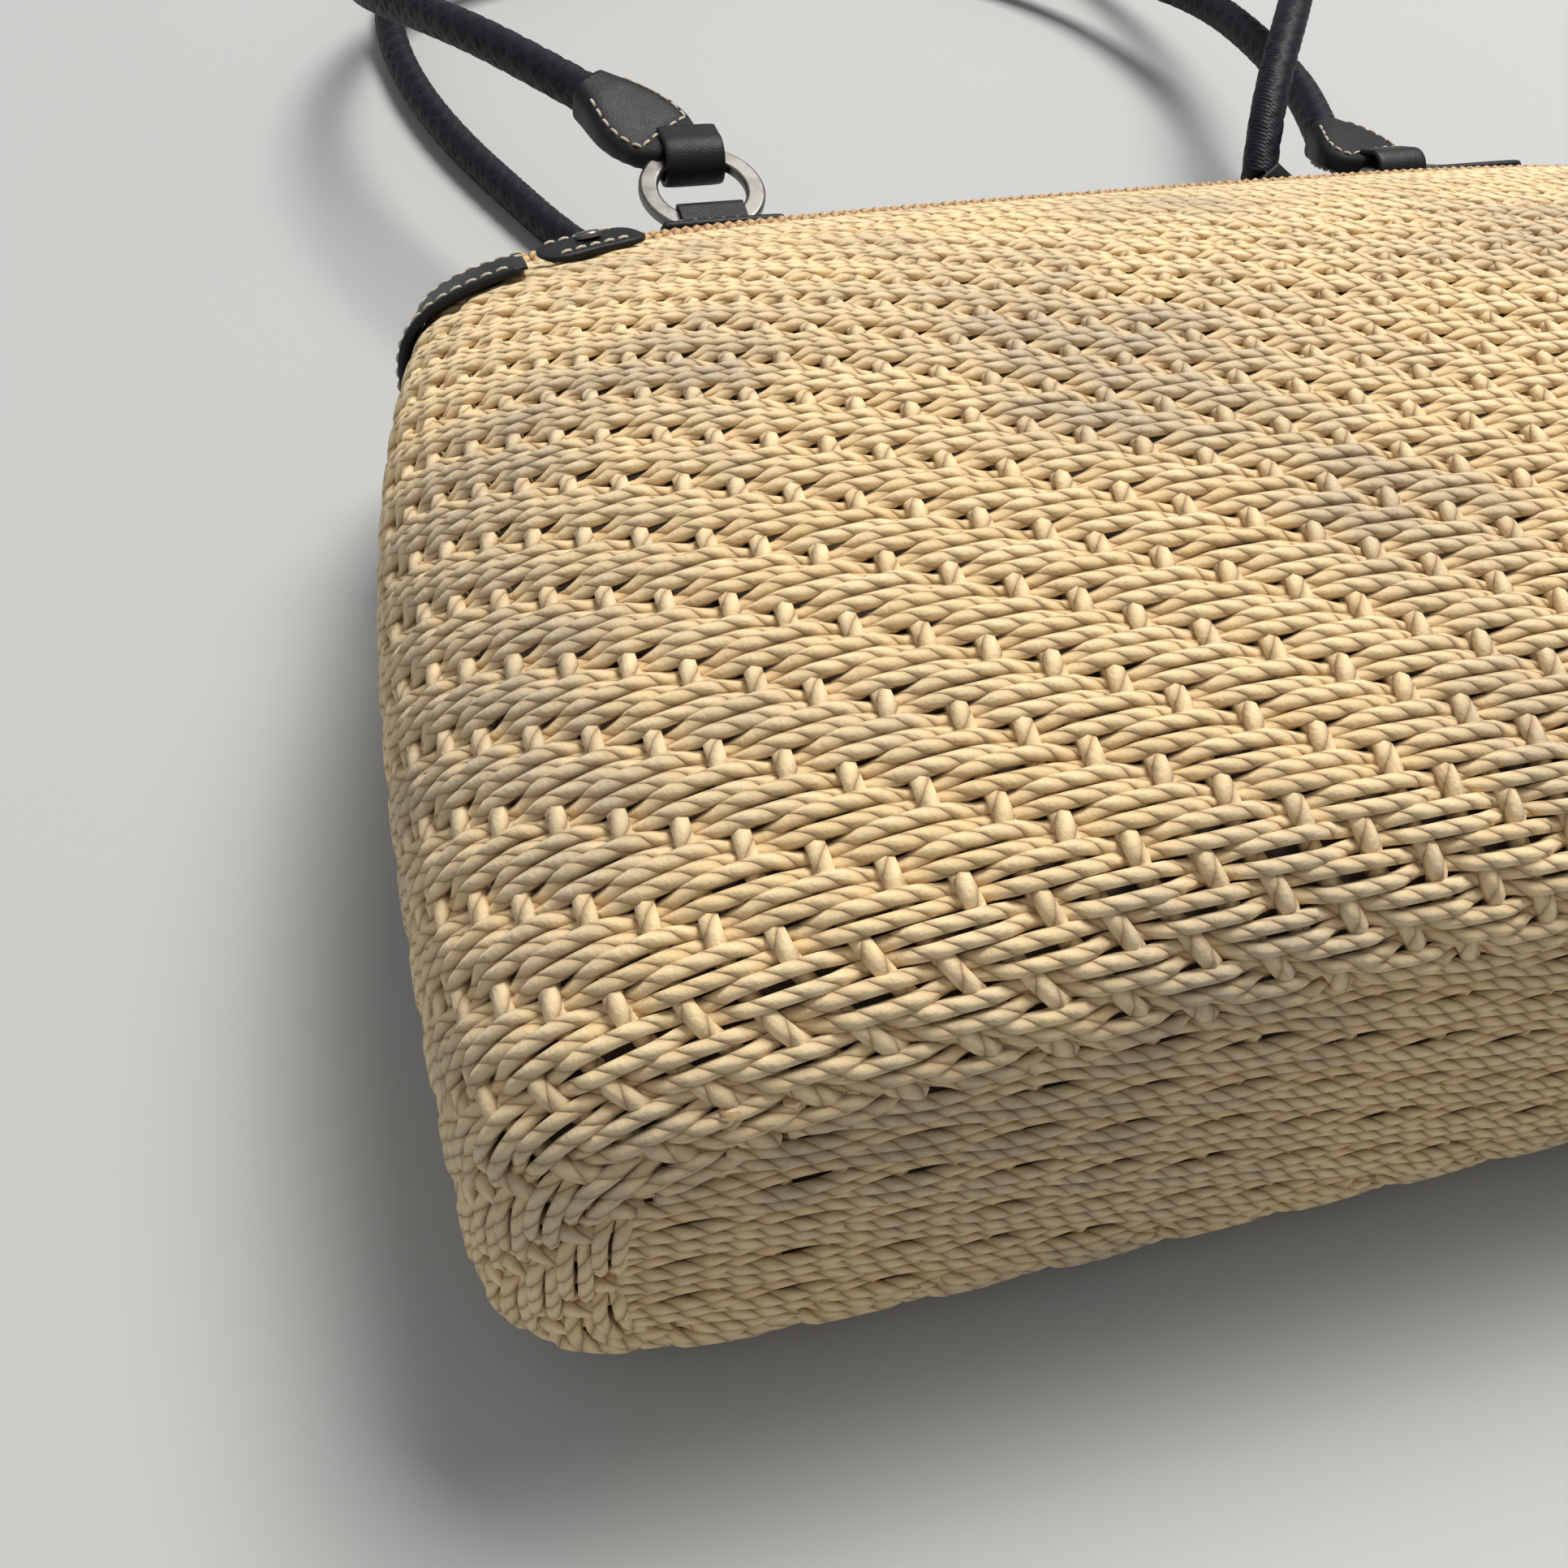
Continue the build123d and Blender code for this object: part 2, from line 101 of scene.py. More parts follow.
# Points of each route, with y measured from the bottom panel.
FRONT_ROUTE = [
    (-0.13, 0.323, 0.071), (-0.147, 0.356, 0.0705), (-0.161, 0.388, 0.0665),
    (-0.172, 0.42, 0.0595), (-0.178, 0.456, 0.05), (-0.176, 0.496, 0.04),
    (-0.162, 0.536, 0.031), (-0.132, 0.569, 0.021), (-0.088, 0.59, 0.012),
    (-0.038, 0.6, 0.0065), (0.01, 0.598, 0.0064), (0.056, 0.583, 0.0075),
    (0.092, 0.56, 0.012), (0.118, 0.525, 0.02), (0.129, 0.488, 0.028),
    (0.131, 0.45, 0.034), (0.127, 0.414, 0.038), (0.1215, 0.383, 0.0405),
    (0.115, 0.354, 0.0425), (0.104, 0.325, 0.044),
]
BACK_ROUTE = [
    (-0.117, 0.336, 0.008), (-0.13, 0.366, 0.0064), (-0.141, 0.398, 0.0064),
    (-0.152, 0.432, 0.0064), (-0.16, 0.468, 0.0064), (-0.164, 0.505, 0.0064),
    (-0.163, 0.543, 0.0064), (-0.153, 0.58, 0.0064), (-0.13, 0.612, 0.0064),
    (-0.092, 0.635, 0.0064), (-0.046, 0.645, 0.0064), (0.006, 0.646, 0.0064),
    (0.056, 0.636, 0.0065), (0.098, 0.615, 0.01), (0.128, 0.585, 0.017),
    (0.144, 0.547, 0.028), (0.148, 0.505, 0.042), (0.144, 0.46, 0.055),
    (0.134, 0.42, 0.064), (0.121, 0.386, 0.066), (0.107, 0.365, 0.064),
    (0.094, 0.346, 0.058), (0.084, 0.329, 0.048), (0.079, 0.317, 0.0365),
]

# Each corner's x, side (1 front, -1 back), the rise of its ring in degrees and its rope's end.
CORNERS = {
    "front_left": (-0.109, 1, 12.0, FRONT_ROUTE[0]),
    "front_right": (0.109, 1, -20.0, FRONT_ROUTE[-1]),
    "back_left": (-0.100, -1, -1.0, BACK_ROUTE[0]),
    "back_right": (0.100, -1, -1.0, BACK_ROUTE[-1]),
}


def unit(vectors):
    """Vectors divided by their lengths."""
    return vectors / np.linalg.norm(vectors, axis=-1, keepdims=True)


def run_along(points):
    """Length from the first point to each point of a polyline: the running sum of its steps."""
    return np.concatenate([[0], np.cumsum(np.linalg.norm(np.diff(points, axis=0), axis=1))])


def places_along(points, run, wanted):
    """Points of a polyline at the wanted lengths, each coordinate interpolated."""
    return np.stack([np.interp(wanted, run, points[:, k]) for k in range(points.shape[1])], -1)


def squared(value, power):
    """The value's sign times its size to a power."""
    return np.sign(value) * np.abs(value) ** power


def smooth_step(low, high, value):
    """0 below low, 1 above high, and 3 s^2 - 2 s^3 between, where s is the share of the way."""
    share = np.clip((value - low) / (high - low), 0, 1)
    return share * share * (3 - 2 * share)


def ripple(rng, count, t, waves, size):
    """Gentle closed noise: a sum of whole waves round the loop with random phases, one row per cord."""
    total = np.zeros((count, t.shape[-1]))
    for wave in waves:
        phase = rng.uniform(0, 2 * pi, (count, 1))
        total += np.sin(2 * pi * wave * t + phase) * rng.uniform(0.5, 1.0, (count, 1))
    return total * size / len(waves) ** 0.5


def softened(values, passes):
    """Values averaged with their neighbours (1/4, 1/2, 1/4), ends kept, a number of times."""
    for _ in range(passes):
        values[1:-1] = values[1:-1] * 0.5 + (values[:-2] + values[2:]) * 0.25
    return values


def quadratic(values, share):
    """Quadratic through three values at shares 0, 1/2 and 1."""
    low, middle, high = values
    return (
        low * (1 - share) * (1 - 2 * share)
        + middle * 4 * share * (1 - share)
        + high * share * (2 * share - 1)
    )


def section_measures(y):
    """Half width, depths in front of and behind the widest line, and that line's height, at y."""
    share = (y - BOTTOM_Y) / BAG_HEIGHT
    thickness = quadratic(THICKNESSES, share)
    back = thickness * quadratic(SPLITS, share)
    return quadratic(WIDTHS, share) / 2, thickness - back, back, RIM_LIFT * share**3 + back


def outline(y, inset, angle):
    """Rounded figure round a section: half sizes times (|cos|^n + |sin|^n)^(-1/n), n larger at the back."""
    half_width, front, back, middle = section_measures(y)
    fullness = np.where(np.sin(angle) >= 0, FRONT_FULLNESS, BACK_FULLNESS)
    reach = (np.abs(np.cos(angle)) ** fullness + np.abs(np.sin(angle)) ** fullness) ** (-1 / fullness)
    x = (half_width - inset) * reach * np.cos(angle)
    z = middle + (np.where(np.sin(angle) >= 0, front, back) - inset) * reach * np.sin(angle)
    return x, z


class BagSurface:
    """Outer face of the weave as a grid: s runs from the bottom panel's edge up the side, t once round."""

    around = 960
    rows = 150

    def __init__(self):
        """Each section is cut at even lengths round it; the bottom's edge is a quarter circle."""
        rounding = BOTTOM_RADIUS * pi / 2
        straight = BODY_END - BOTTOM_Y - BOTTOM_RADIUS
        self.length = rounding + straight
        self.s = np.linspace(0, self.length, self.rows)
        angle = np.linspace(0, 2 * pi, 2881)
        sections = []
        for s in self.s:
            turn = min(s / BOTTOM_RADIUS, pi / 2)
            y = BOTTOM_Y + BOTTOM_RADIUS * (1 - cos(turn)) + max(s - rounding, 0)
            x, z = outline(y, BOTTOM_RADIUS * (1 - sin(turn)), angle)
            run = run_along(np.stack([x, z], -1))
            want = np.linspace(0, run[-1], self.around + 1)
            sections.append(
                np.stack([np.interp(want, run, x), np.full(want.shape, y), np.interp(want, run, z)], -1)
            )
        self.point = np.array(sections)
        along = np.gradient(self.point, axis=0)
        wrapped = np.concatenate([self.point[:, -2:-1], self.point, self.point[:, 1:2]], axis=1)
        round_it = (wrapped[:, 2:] - wrapped[:, :-2]) / 2
        self.normal = unit(np.cross(along, round_it))

    def at(self, s, t):
        """Points and outward normals at lengths s and shares t of the way round."""
        row = np.clip(s / self.length, 0, 1) * (len(self.s) - 1)
        column = np.mod(t, 1.0) * self.around
        r0 = np.minimum(row.astype(int), len(self.s) - 2)
        c0 = np.minimum(column.astype(int), self.around - 1)
        fr = (row - r0)[..., None]
        fc = (column - c0)[..., None]
        found = []
        for grid in (self.point, self.normal):
            low = grid[r0, c0] * (1 - fc) + grid[r0, c0 + 1] * fc
            high = grid[r0 + 1, c0] * (1 - fc) + grid[r0 + 1, c0 + 1] * fc
            found.append(low * (1 - fr) + high * fr)
        return found[0], unit(found[1])


# ---- mesh building ------------------------------------------------------------------------------
def new_object(name, points, quads, uv=None, marks=None, material=None, body="bag"):
    """Mesh object from arrays of points and four-cornered faces, riding on a body."""
    mesh = bpy.data.meshes.new(name)
    mesh.vertices.add(len(points))
    mesh.vertices.foreach_set("co", np.asarray(points, np.float32).ravel())
    mesh.loops.add(quads.size)
    mesh.loops.foreach_set("vertex_index", np.asarray(quads, np.int32).ravel())
    mesh.polygons.add(len(quads))
    mesh.polygons.foreach_set("loop_start", np.arange(0, quads.size, 4, dtype=np.int32))
    mesh.update(calc_edges=True)
    if uv is not None:
        layer = mesh.uv_layers.new(name="UVMap")
        layer.data.foreach_set("uv", np.asarray(uv, np.float32).ravel())
    for mark, values in (marks or {}).items():
        attribute = mesh.attributes.new(mark, "FLOAT", "POINT")
        attribute.data.foreach_set("value", np.asarray(values, np.float32).ravel())
    mesh.validate()
    mesh.shade_smooth()
    thing = bpy.data.objects.new(name, mesh)
    bpy.context.scene.collection.objects.link(thing)
    if material is not None:
        mesh.materials.append(material)
    if body is not None:
        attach(thing, body)
    return thing


def tube_arrays(paths, up, half_up, half_side, sides, closed, twist_pitch, marks=None, power=1.0):
    """Tubes along paths of shape (m, n, 3): an ellipse in the plane square to each path, one axis along up.

    A power below 1 on its cosine and sine squares the ellipse, for straps. An open tube has flat ends
    and an even number of sides. Returns points, quads, corner UVs (turns of twist along, share round)
    and the marks per point.
    """
    m, n, _ = paths.shape
    if closed:
        tangent = np.roll(paths, -1, axis=1) - np.roll(paths, 1, axis=1)
        step = np.linalg.norm(np.roll(paths, -1, axis=1) - paths, axis=-1)
    else:
        tangent = np.gradient(paths, axis=1)
        step = np.linalg.norm(np.diff(paths, axis=1), axis=-1)
    run = np.concatenate([np.zeros((m, 1)), np.cumsum(step, axis=1)], axis=1)
    tangent = unit(tangent)
    side = unit(np.cross(tangent, up))
    true_up = np.cross(side, tangent)
    phi = np.arange(sides) * 2 * pi / sides
    half_up = np.broadcast_to(half_up, (m, n))[..., None, None]
    half_side = np.broadcast_to(half_side, (m, n))[..., None, None]
    ring = (
        paths[:, :, None, :]
        + squared(np.cos(phi), power)[:, None] * true_up[:, :, None, :] * half_up
        + squared(np.sin(phi), power)[:, None] * side[:, :, None, :] * half_side
    )
    points = ring.reshape(-1, 3)
    spans = n if closed else n - 1
    i = np.arange(spans)
    j = np.arange(sides)
    a = (i[:, None] * sides + j).ravel()
    b = (i[:, None] * sides + (j + 1) % sides).ravel()
    c = (((i + 1) % n)[:, None] * sides + (j + 1) % sides).ravel()
    d = (((i + 1) % n)[:, None] * sides + j).ravel()
    one = np.stack([a, b, c, d], -1)
    quads = (one[None] + (np.arange(m) * n * sides)[:, None, None]).reshape(-1, 4)
    u0 = np.repeat(run[:, :spans], sides, axis=1) / twist_pitch
    u1 = np.repeat(run[:, 1 : spans + 1], sides, axis=1) / twist_pitch
    if closed:
        turns = np.round(run[:, -1:] / twist_pitch) * twist_pitch / run[:, -1:]
        u0, u1 = u0 * turns, u1 * turns
    v0 = np.tile(j / sides, spans)
    v1 = np.tile((j + 1) / sides, spans)
    v0, v1 = np.broadcast_to(v0, u0.shape), np.broadcast_to(v1, u0.shape)
    corners = [np.stack(pair, -1) for pair in ((u0, v0), (u0, v1), (u1, v1), (u1, v0))]
    uv = np.stack(corners, 2).reshape(-1, 2)
    if not closed:
        last = (n - 1) * sides
        k = np.arange(1, sides - 1, 2)
        start_cap = np.stack([np.zeros_like(k), k + 2, k + 1, k], -1)
        end_cap = last + np.stack([np.zeros_like(k), k, k + 1, k + 2], -1)
        caps = np.stack([start_cap, end_cap], 1).reshape(-1, 4)
        caps = (caps[None] + (np.arange(m) * n * sides)[:, None, None]).reshape(-1, 4)
        quads = np.concatenate([quads, caps])
        uv = np.concatenate([uv, np.zeros((caps.size, 2))])
    spread = {name: np.repeat(np.broadcast_to(v, (m, n)).ravel(), sides) for name, v in (marks or {}).items()}
    return points, quads, uv, spread


def strap_arrays(path, up, half_thick, half_wide, sides, power):
    """One open squared tube along a path of shape (n, 3): points, quads and UVs of a strap."""
    return tube_arrays(path[None], up[None], half_thick, half_wide, sides, False, 0.02, None, power)[:3]


# ---- materials ----------------------------------------------------------------------------------
class Nodes:
    """Short way to build a node tree."""

    def __init__(self, name):
        self.material = bpy.data.materials.new(name)
        self.material.use_nodes = True
        self.tree = self.material.node_tree
        self.shader = self.tree.nodes["Principled BSDF"]

    def add(self, kind, **settings):
        """A node; in_NAME sets one of its inputs, and any other word a property of it."""
        node = self.tree.nodes.new(kind)
        for key, value in settings.items():
            if key.startswith("in_"):
                place = key[3:]
                node.inputs[int(place) if place.isdigit() else place].default_value = value
            else:
                setattr(node, key, value)
        return node

    def link(self, source, target):
        self.tree.links.new(source, target)

    def maths(self, operation, first, second=None, clamp=False):
        """One Math node on numbers or outputs."""
        node = self.add("ShaderNodeMath", operation=operation, use_clamp=clamp)
        for place, value in enumerate((first, second)):
            if value is None:
                continue
            if isinstance(value, (int, float)):
                node.inputs[place].default_value = value
            else:
                self.link(value, node.inputs[place])
        return node.outputs[0]

    def noise(self, scale, detail=3.0):
        """Cloudy noise on the object's own coordinates."""
        node = self.add("ShaderNodeTexNoise", in_Scale=scale, in_Detail=detail, in_Roughness=0.55)
        self.link(self.add("ShaderNodeTexCoord").outputs["Object"], node.inputs["Vector"])
        return node.outputs[0]

    def along_and_round(self):
        """U and V of the piece's own UV map."""
        parts = self.add("ShaderNodeSeparateXYZ")
        self.link(self.add("ShaderNodeUVMap", uv_map="UVMap").outputs[0], parts.inputs[0])
        return parts.outputs[0], parts.outputs[1]

    def mark(self, name):
        """One of the piece's point attributes."""
        return self.add("ShaderNodeAttribute", attribute_name=name).outputs["Fac"]

    def mix(self, share, first, second):
        """Two colours mixed by a share."""
        node = self.add("ShaderNodeMix", data_type="RGBA")
        for place, value in ((0, share), (6, first), (7, second)):
            if isinstance(value, (int, float)):
                node.inputs[place].default_value = value
            elif isinstance(value, tuple):
                node.inputs[place].default_value = (*value, 1.0)
            else:
                self.link(value, node.inputs[place])
        return node.outputs[2]

    def bump(self, height, distance, strength):
        """Normal from a height."""
        node = self.add("ShaderNodeBump", in_Strength=strength, in_Distance=distance)
        self.link(height, node.inputs["Height"])
        return node.outputs[0]

    def finish(self, colour, rough, normal=None, metal=None, sheen=None, gloss=None):
        """Sets or links the shader's sockets and gives the material."""
        for name, value in (
            ("Base Color", colour), ("Roughness", rough), ("Normal", normal),
            ("Metallic", metal), ("Sheen Weight", sheen), ("Specular IOR Level", gloss),
        ):
            if value is None:
                continue
            if isinstance(value, (int, float)):
                self.shader.inputs[name].default_value = value
            else:
                self.link(value, self.shader.inputs[name])
        return self.material


def twist_height(n, plies=2.0):
    """Rounded plies with sharp grooves between them, winding once round per unit of U."""
    along, round_it = n.along_and_round()
    turned = n.maths("SUBTRACT", round_it, along)
    wave = n.maths("SINE", n.maths("MULTIPLY", turned, pi * plies))
    return n.maths("POWER", n.maths("ABSOLUTE", wave), 0.55)


def cord_material(name, fresh, shade, worn, worn_share):
    """Twisted plant cord: plies, fine fibre, painted shade on cord lying deep in the recesses and in the grooves
    between plies, and greyed, rubbed high spots.
    """
    n = Nodes(name)
    plies = twist_height(n)
    fibre = n.noise(900.0, 4.0)
    blotch = n.noise(22.0, 3.0)
    tone = n.mark("tone")
    out = n.mark("out")
    base = n.mix(tone, fresh, tuple(c * f for c, f in zip(fresh, (0.86, 0.80, 0.68))))
    # Painted shade: the deeper a cord lies under the face (low out mark), the more it is mixed towards the shade
    # colour.
    painted_recess_shade = n.maths("SUBTRACT", 1.0, out, clamp=True)
    base = n.mix(n.maths("MULTIPLY", painted_recess_shade, 0.6), base, shade)
    rub = n.maths("MULTIPLY", n.maths("SUBTRACT", blotch, 0.44, clamp=True), 4.2, clamp=True)
    rub = n.maths("MULTIPLY", n.maths("MULTIPLY", rub, out), worn_share)
    rub = n.maths("MULTIPLY", rub, n.maths("ADD", n.maths("MULTIPLY", fibre, 1.2), 0.2), clamp=True)
    base = n.mix(rub, base, worn)
    # Painted shade in the grooves between the two plies, darker than the recess shade colour.
    painted_groove_shade = n.maths("MULTIPLY", n.maths("SUBTRACT", 1.0, plies, clamp=True), 0.75)
    base = n.mix(painted_groove_shade, base, tuple(c * f for c, f in zip(shade, (0.52, 0.42, 0.30))))
    height = n.maths("ADD", plies, n.maths("MULTIPLY", fibre, 0.5))
    normal = n.bump(height, 0.0006, 0.9)
    return n.finish(base, 0.78, normal, sheen=0.15)


def leather_material(name="leather"):
    """Near-black leather: pebbled grain with faint creases, and shinier where it is smeared."""
    n = Nodes(name)
    grain = n.add("ShaderNodeTexVoronoi", in_Scale=1500.0, feature="DISTANCE_TO_EDGE")
    n.link(n.add("ShaderNodeTexCoord").outputs["Object"], grain.inputs["Vector"])
    pebbles = n.maths("MINIMUM", grain.outputs["Distance"], 0.25)
    smear = n.noise(60.0, 3.0)
    colour = n.mix(smear, (0.0045, 0.0050, 0.0060), (0.0110, 0.0120, 0.0140))
    rough = n.maths("ADD", n.maths("MULTIPLY", smear, 0.25), 0.34)
    crease = n.noise(240.0, 3.0)
    height = n.maths("ADD", pebbles, n.maths("MULTIPLY", crease, 0.8))
    return n.finish(colour, rough, n.bump(height, 0.00025, 0.6), gloss=0.28)


def rope_material(name="rope_braid"):
    """Braided black leather: painted shade darkens the grooves between the strands, leaving their tops lighter,
    with fine slanted lines across them.
    """
    n = Nodes(name)
    along, round_it = n.along_and_round()
    slant = n.maths("ADD", round_it, n.maths("MULTIPLY", along, 3.0))
    fine = n.maths("SINE", n.maths("MULTIPLY", slant, 60.0))
    # Painted shade: where the out mark (the braid's relief) is low, in the grooves between strands, the colour is
    # darkened.
    over = n.mark("out")
    colour = n.mix(over, (0.0012, 0.0014, 0.0020), (0.0075, 0.0090, 0.0130))
    return n.finish(colour, 0.5, n.bump(fine, 0.0001, 0.5), gloss=0.22)


def thread_material(name="pale_thread"):
    """Pale waxed sewing thread."""
    n = Nodes(name)
    colour = n.mix(n.noise(500.0), (0.42, 0.36, 0.26), (0.62, 0.55, 0.42))
    return n.finish(colour, 0.7)


def pewter_material(name="pewter"):
    """Aged grey metal: dark patches, rougher where they are light."""
    n = Nodes(name)
    patch = n.noise(180.0, 4.0)
    colour = n.mix(patch, (0.11, 0.106, 0.096), (0.30, 0.29, 0.26))
    rough = n.maths("ADD", n.maths("MULTIPLY", patch, 0.3), 0.25)
    return n.finish(colour, rough, n.bump(patch, 0.0001, 0.5), 1.0)


def cloth_material(name, light, dark, scale=0.0009):
    """Plain-weave cloth: crossed threads in the piece's own UV, in metres."""
    n = Nodes(name)
    one, two = (n.maths("SINE", n.maths("MULTIPLY", part, 2 * pi / scale)) for part in n.along_and_round())
    weave = n.maths("ADD", n.maths("MULTIPLY", n.maths("MULTIPLY", one, two), 0.5), 0.5)
    colour = n.mix(n.maths("MULTIPLY", weave, n.noise(30.0)), dark, light)
    return n.finish(colour, 0.85, n.bump(weave, 0.0002, 0.5), sheen=0.3)


def floor_material(name="pale_floor"):
    """Plain pale floor."""
    n = Nodes(name)
    colour = n.mix(n.noise(2.0, 2.0), (0.425, 0.425, 0.418), (0.445, 0.445, 0.438))
    return n.finish(colour, 0.6)


def paint(material, *nodes):
    """Gives CAD pieces that show as they are a material."""
    for name in nodes:
        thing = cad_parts[name]
        thing.data.materials.clear()
        thing.data.materials.append(material)


# ---- settings -----------------------------------------------------------------------------------
def length_setting(name, description, default):
    """A length in metres that a user may change."""
    return bpy.props.FloatProperty(name=name, description=description, default=default, min=0.0001, unit="LENGTH")


def colour_setting(name, description, default):
    """A linear colour that a user may change."""
    return bpy.props.FloatVectorProperty(
        name=name, description=description, default=default, subtype="COLOR", size=3, min=0.0, max=1.0
    )


class WeaveSettings(bpy.types.PropertyGroup):
    """Sizes and colours of the woven wall"""

    stakes: bpy.props.IntProperty(
        name="Stakes", description="Upright cords round the bag, a multiple of three", default=120, min=60, max=180
    )
    row_pitch: length_setting("Row pitch", "Distance between pairs of woven cords", 0.0050)
    cord: length_setting("Cord diameter", "Diameter of one twisted cord", 0.0025)
    twist: length_setting("Twist pitch", "Length of one full turn of the two plies", 0.0090)
    fresh: colour_setting("Fresh cord", "Colour of clean cord", (0.86, 0.68, 0.40))
    # Colour of the painted shade on cord lying deep in the recesses.
    shade: colour_setting("Deep cord", "Colour of cord in the recesses", (0.72, 0.50, 0.25))
    worn: colour_setting("Worn cord", "Colour of rubbed, greyed cord", (0.42, 0.355, 0.265))


class RopeSettings(bpy.types.PropertyGroup):
    """Sizes of the handle ropes"""

    diameter: length_setting("Diameter", "Diameter of a handle rope", 0.011)
    braid: length_setting("Braid pitch", "Length of one turn of the braid", 0.036)


class StitchSettings(bpy.types.PropertyGroup):
    """Sizes of the sewing on the leather"""

    length: length_setting("Stitch length", "Length of one visible stitch", 0.0026)
    pitch: length_setting("Stitch pitch", "Distance between stitches", 0.0036)
    thread: length_setting("Thread", "Thickness of the sewing thread", 0.0007)


# ---- weave --------------------------------------------------------------------------------------
class BAG_OT_weave(bpy.types.Operator):
    """Woven wall: pairs of twisted cords round the bag, over two stakes and under one"""

    bl_idname = "bag.weave"
    bl_label = "Woven wall"

    def execute(self, context):
        """Cords run at steady lengths up the surface; depth under the face follows a smooth step of the
        distance to the nearest stake that the cord dips under, moved on by one stake per row."""
        settings = context.scene.bag_weave
        surface = BagSurface()
        material = cord_material(
            "woven_cord", tuple(settings.fresh), tuple(settings.shade), tuple(settings.worn), 0.9
        )
        rng = np.random.default_rng(7)
        rows = int((surface.length - 0.001) / settings.row_pitch)
        pitch = (surface.length - 0.0005) / rows
        pairs = [self.cords(surface, settings, rng, rows, pitch, cord) for cord in range(2)]
        bands = np.linspace(0, rows, WEAVE_BANDS + 1).astype(int)
        for band in range(WEAVE_BANDS):
            kept = slice(bands[band], bands[band + 1])
            path, normal, thick, tone, out = (np.concatenate([cord[k][kept] for cord in pairs]) for k in range(5))
            arrays = tube_arrays(
                path, normal, thick * 0.97, thick * 1.03, CORD_SIDES, True, settings.twist,
                {"tone": tone, "out": out},
            )
            piece = new_object(f"weave_cords_{band + 1}", *arrays, material)
            if band == 0:
                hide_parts("woven_body")
        self.stakes(surface, settings, rows, pitch, material)
        self.bottom(surface, material, settings)
        self.painted_shade_sheet(surface)
        return {"FINISHED"}

    def cords(self, surface, settings, rng, rows, pitch, cord):
        """One cord of every pair: its centreline, normals, half thickness, tone and how far out it lies."""
        radius = settings.cord / 2
        samples = settings.stakes * 4
        shares = (np.arange(samples) / samples)[None, :]
        row = np.arange(rows)
        middle = (row + 0.5) * pitch + (cord - 0.5) * pitch * 0.5
        under = 1 - smooth_step(0.22, 0.95, self.away_from_dip(row[:, None], shares * settings.stakes))
        slip = ripple(rng, rows, shares, (3, 7, 13, 29), 0.00022)
        fan = (cord - 0.5) * pitch * 0.10 * (1 - under * 1.6)
        s = middle[:, None] + slip + fan
        depth = radius + 0.0001 + under * DIP_DEPTH + np.abs(ripple(rng, rows, shares, (5, 11, 23), 0.00012))
        thick = radius * (1.0 + ripple(rng, rows, shares, (9, 17, 31), 0.05))
        point, normal = surface.at(np.clip(s, 0.0004, surface.length - 0.0008), np.broadcast_to(shares, s.shape))
        tone = np.clip(0.45 + ripple(rng, rows, shares, (1, 2, 5), 0.22) + rng.normal(0, 0.12, (rows, 1)), 0, 1)
        return point - normal * depth[..., None], normal, thick, tone, 1 - under

    def away_from_dip(self, row, stake):
        """Distance, in stakes, to the nearest one that a row dips under: it moves on by one per row."""
        half = FLOAT_STAKES / 2
        return np.abs(np.mod(row - stake + half, FLOAT_STAKES) - half)

    def stakes(self, surface, settings, rows, pitch, material):
        """Upright cords: they come out where the woven cords dip, and sink where those pass over."""
        rng = np.random.default_rng(11)
        stakes = settings.stakes
        count = rows * 3
        s = np.linspace(0.0006, surface.length - 0.0006, count)[None, :]
        number = np.arange(stakes)[:, None]
        out = 1 - smooth_step(0.25, 0.85, self.away_from_dip(s / pitch - 0.5, number))
        depth = STAKE_DEPTH - STAKE_RISE * out
        t = (number + rng.normal(0, 0.05, (stakes, 1)) + 0.05 * np.sin(s * 60 + number)) / stakes
        point, normal = surface.at(np.broadcast_to(s, t.shape), t)
        path = point - normal * depth[..., None]
        tone = np.broadcast_to(rng.uniform(0.0, 0.5, (stakes, 1)), path.shape[:2])
        # Stakes keep an out mark between 0.25 and 0.75, so they always carry some painted shade.
        out = np.broadcast_to(0.25 + 0.5 * out, tone.shape)
        for group in range(STAKE_GROUPS):
            kept = slice(group * stakes // STAKE_GROUPS, (group + 1) * stakes // STAKE_GROUPS)
            arrays = tube_arrays(
                path[kept], normal[kept], 0.00135, 0.0016, CORD_SIDES, False, settings.twist,
                {"tone": tone[kept], "out": out[kept]},
            )
            new_object(f"weave_stakes_{group + 1}", *arrays, material)

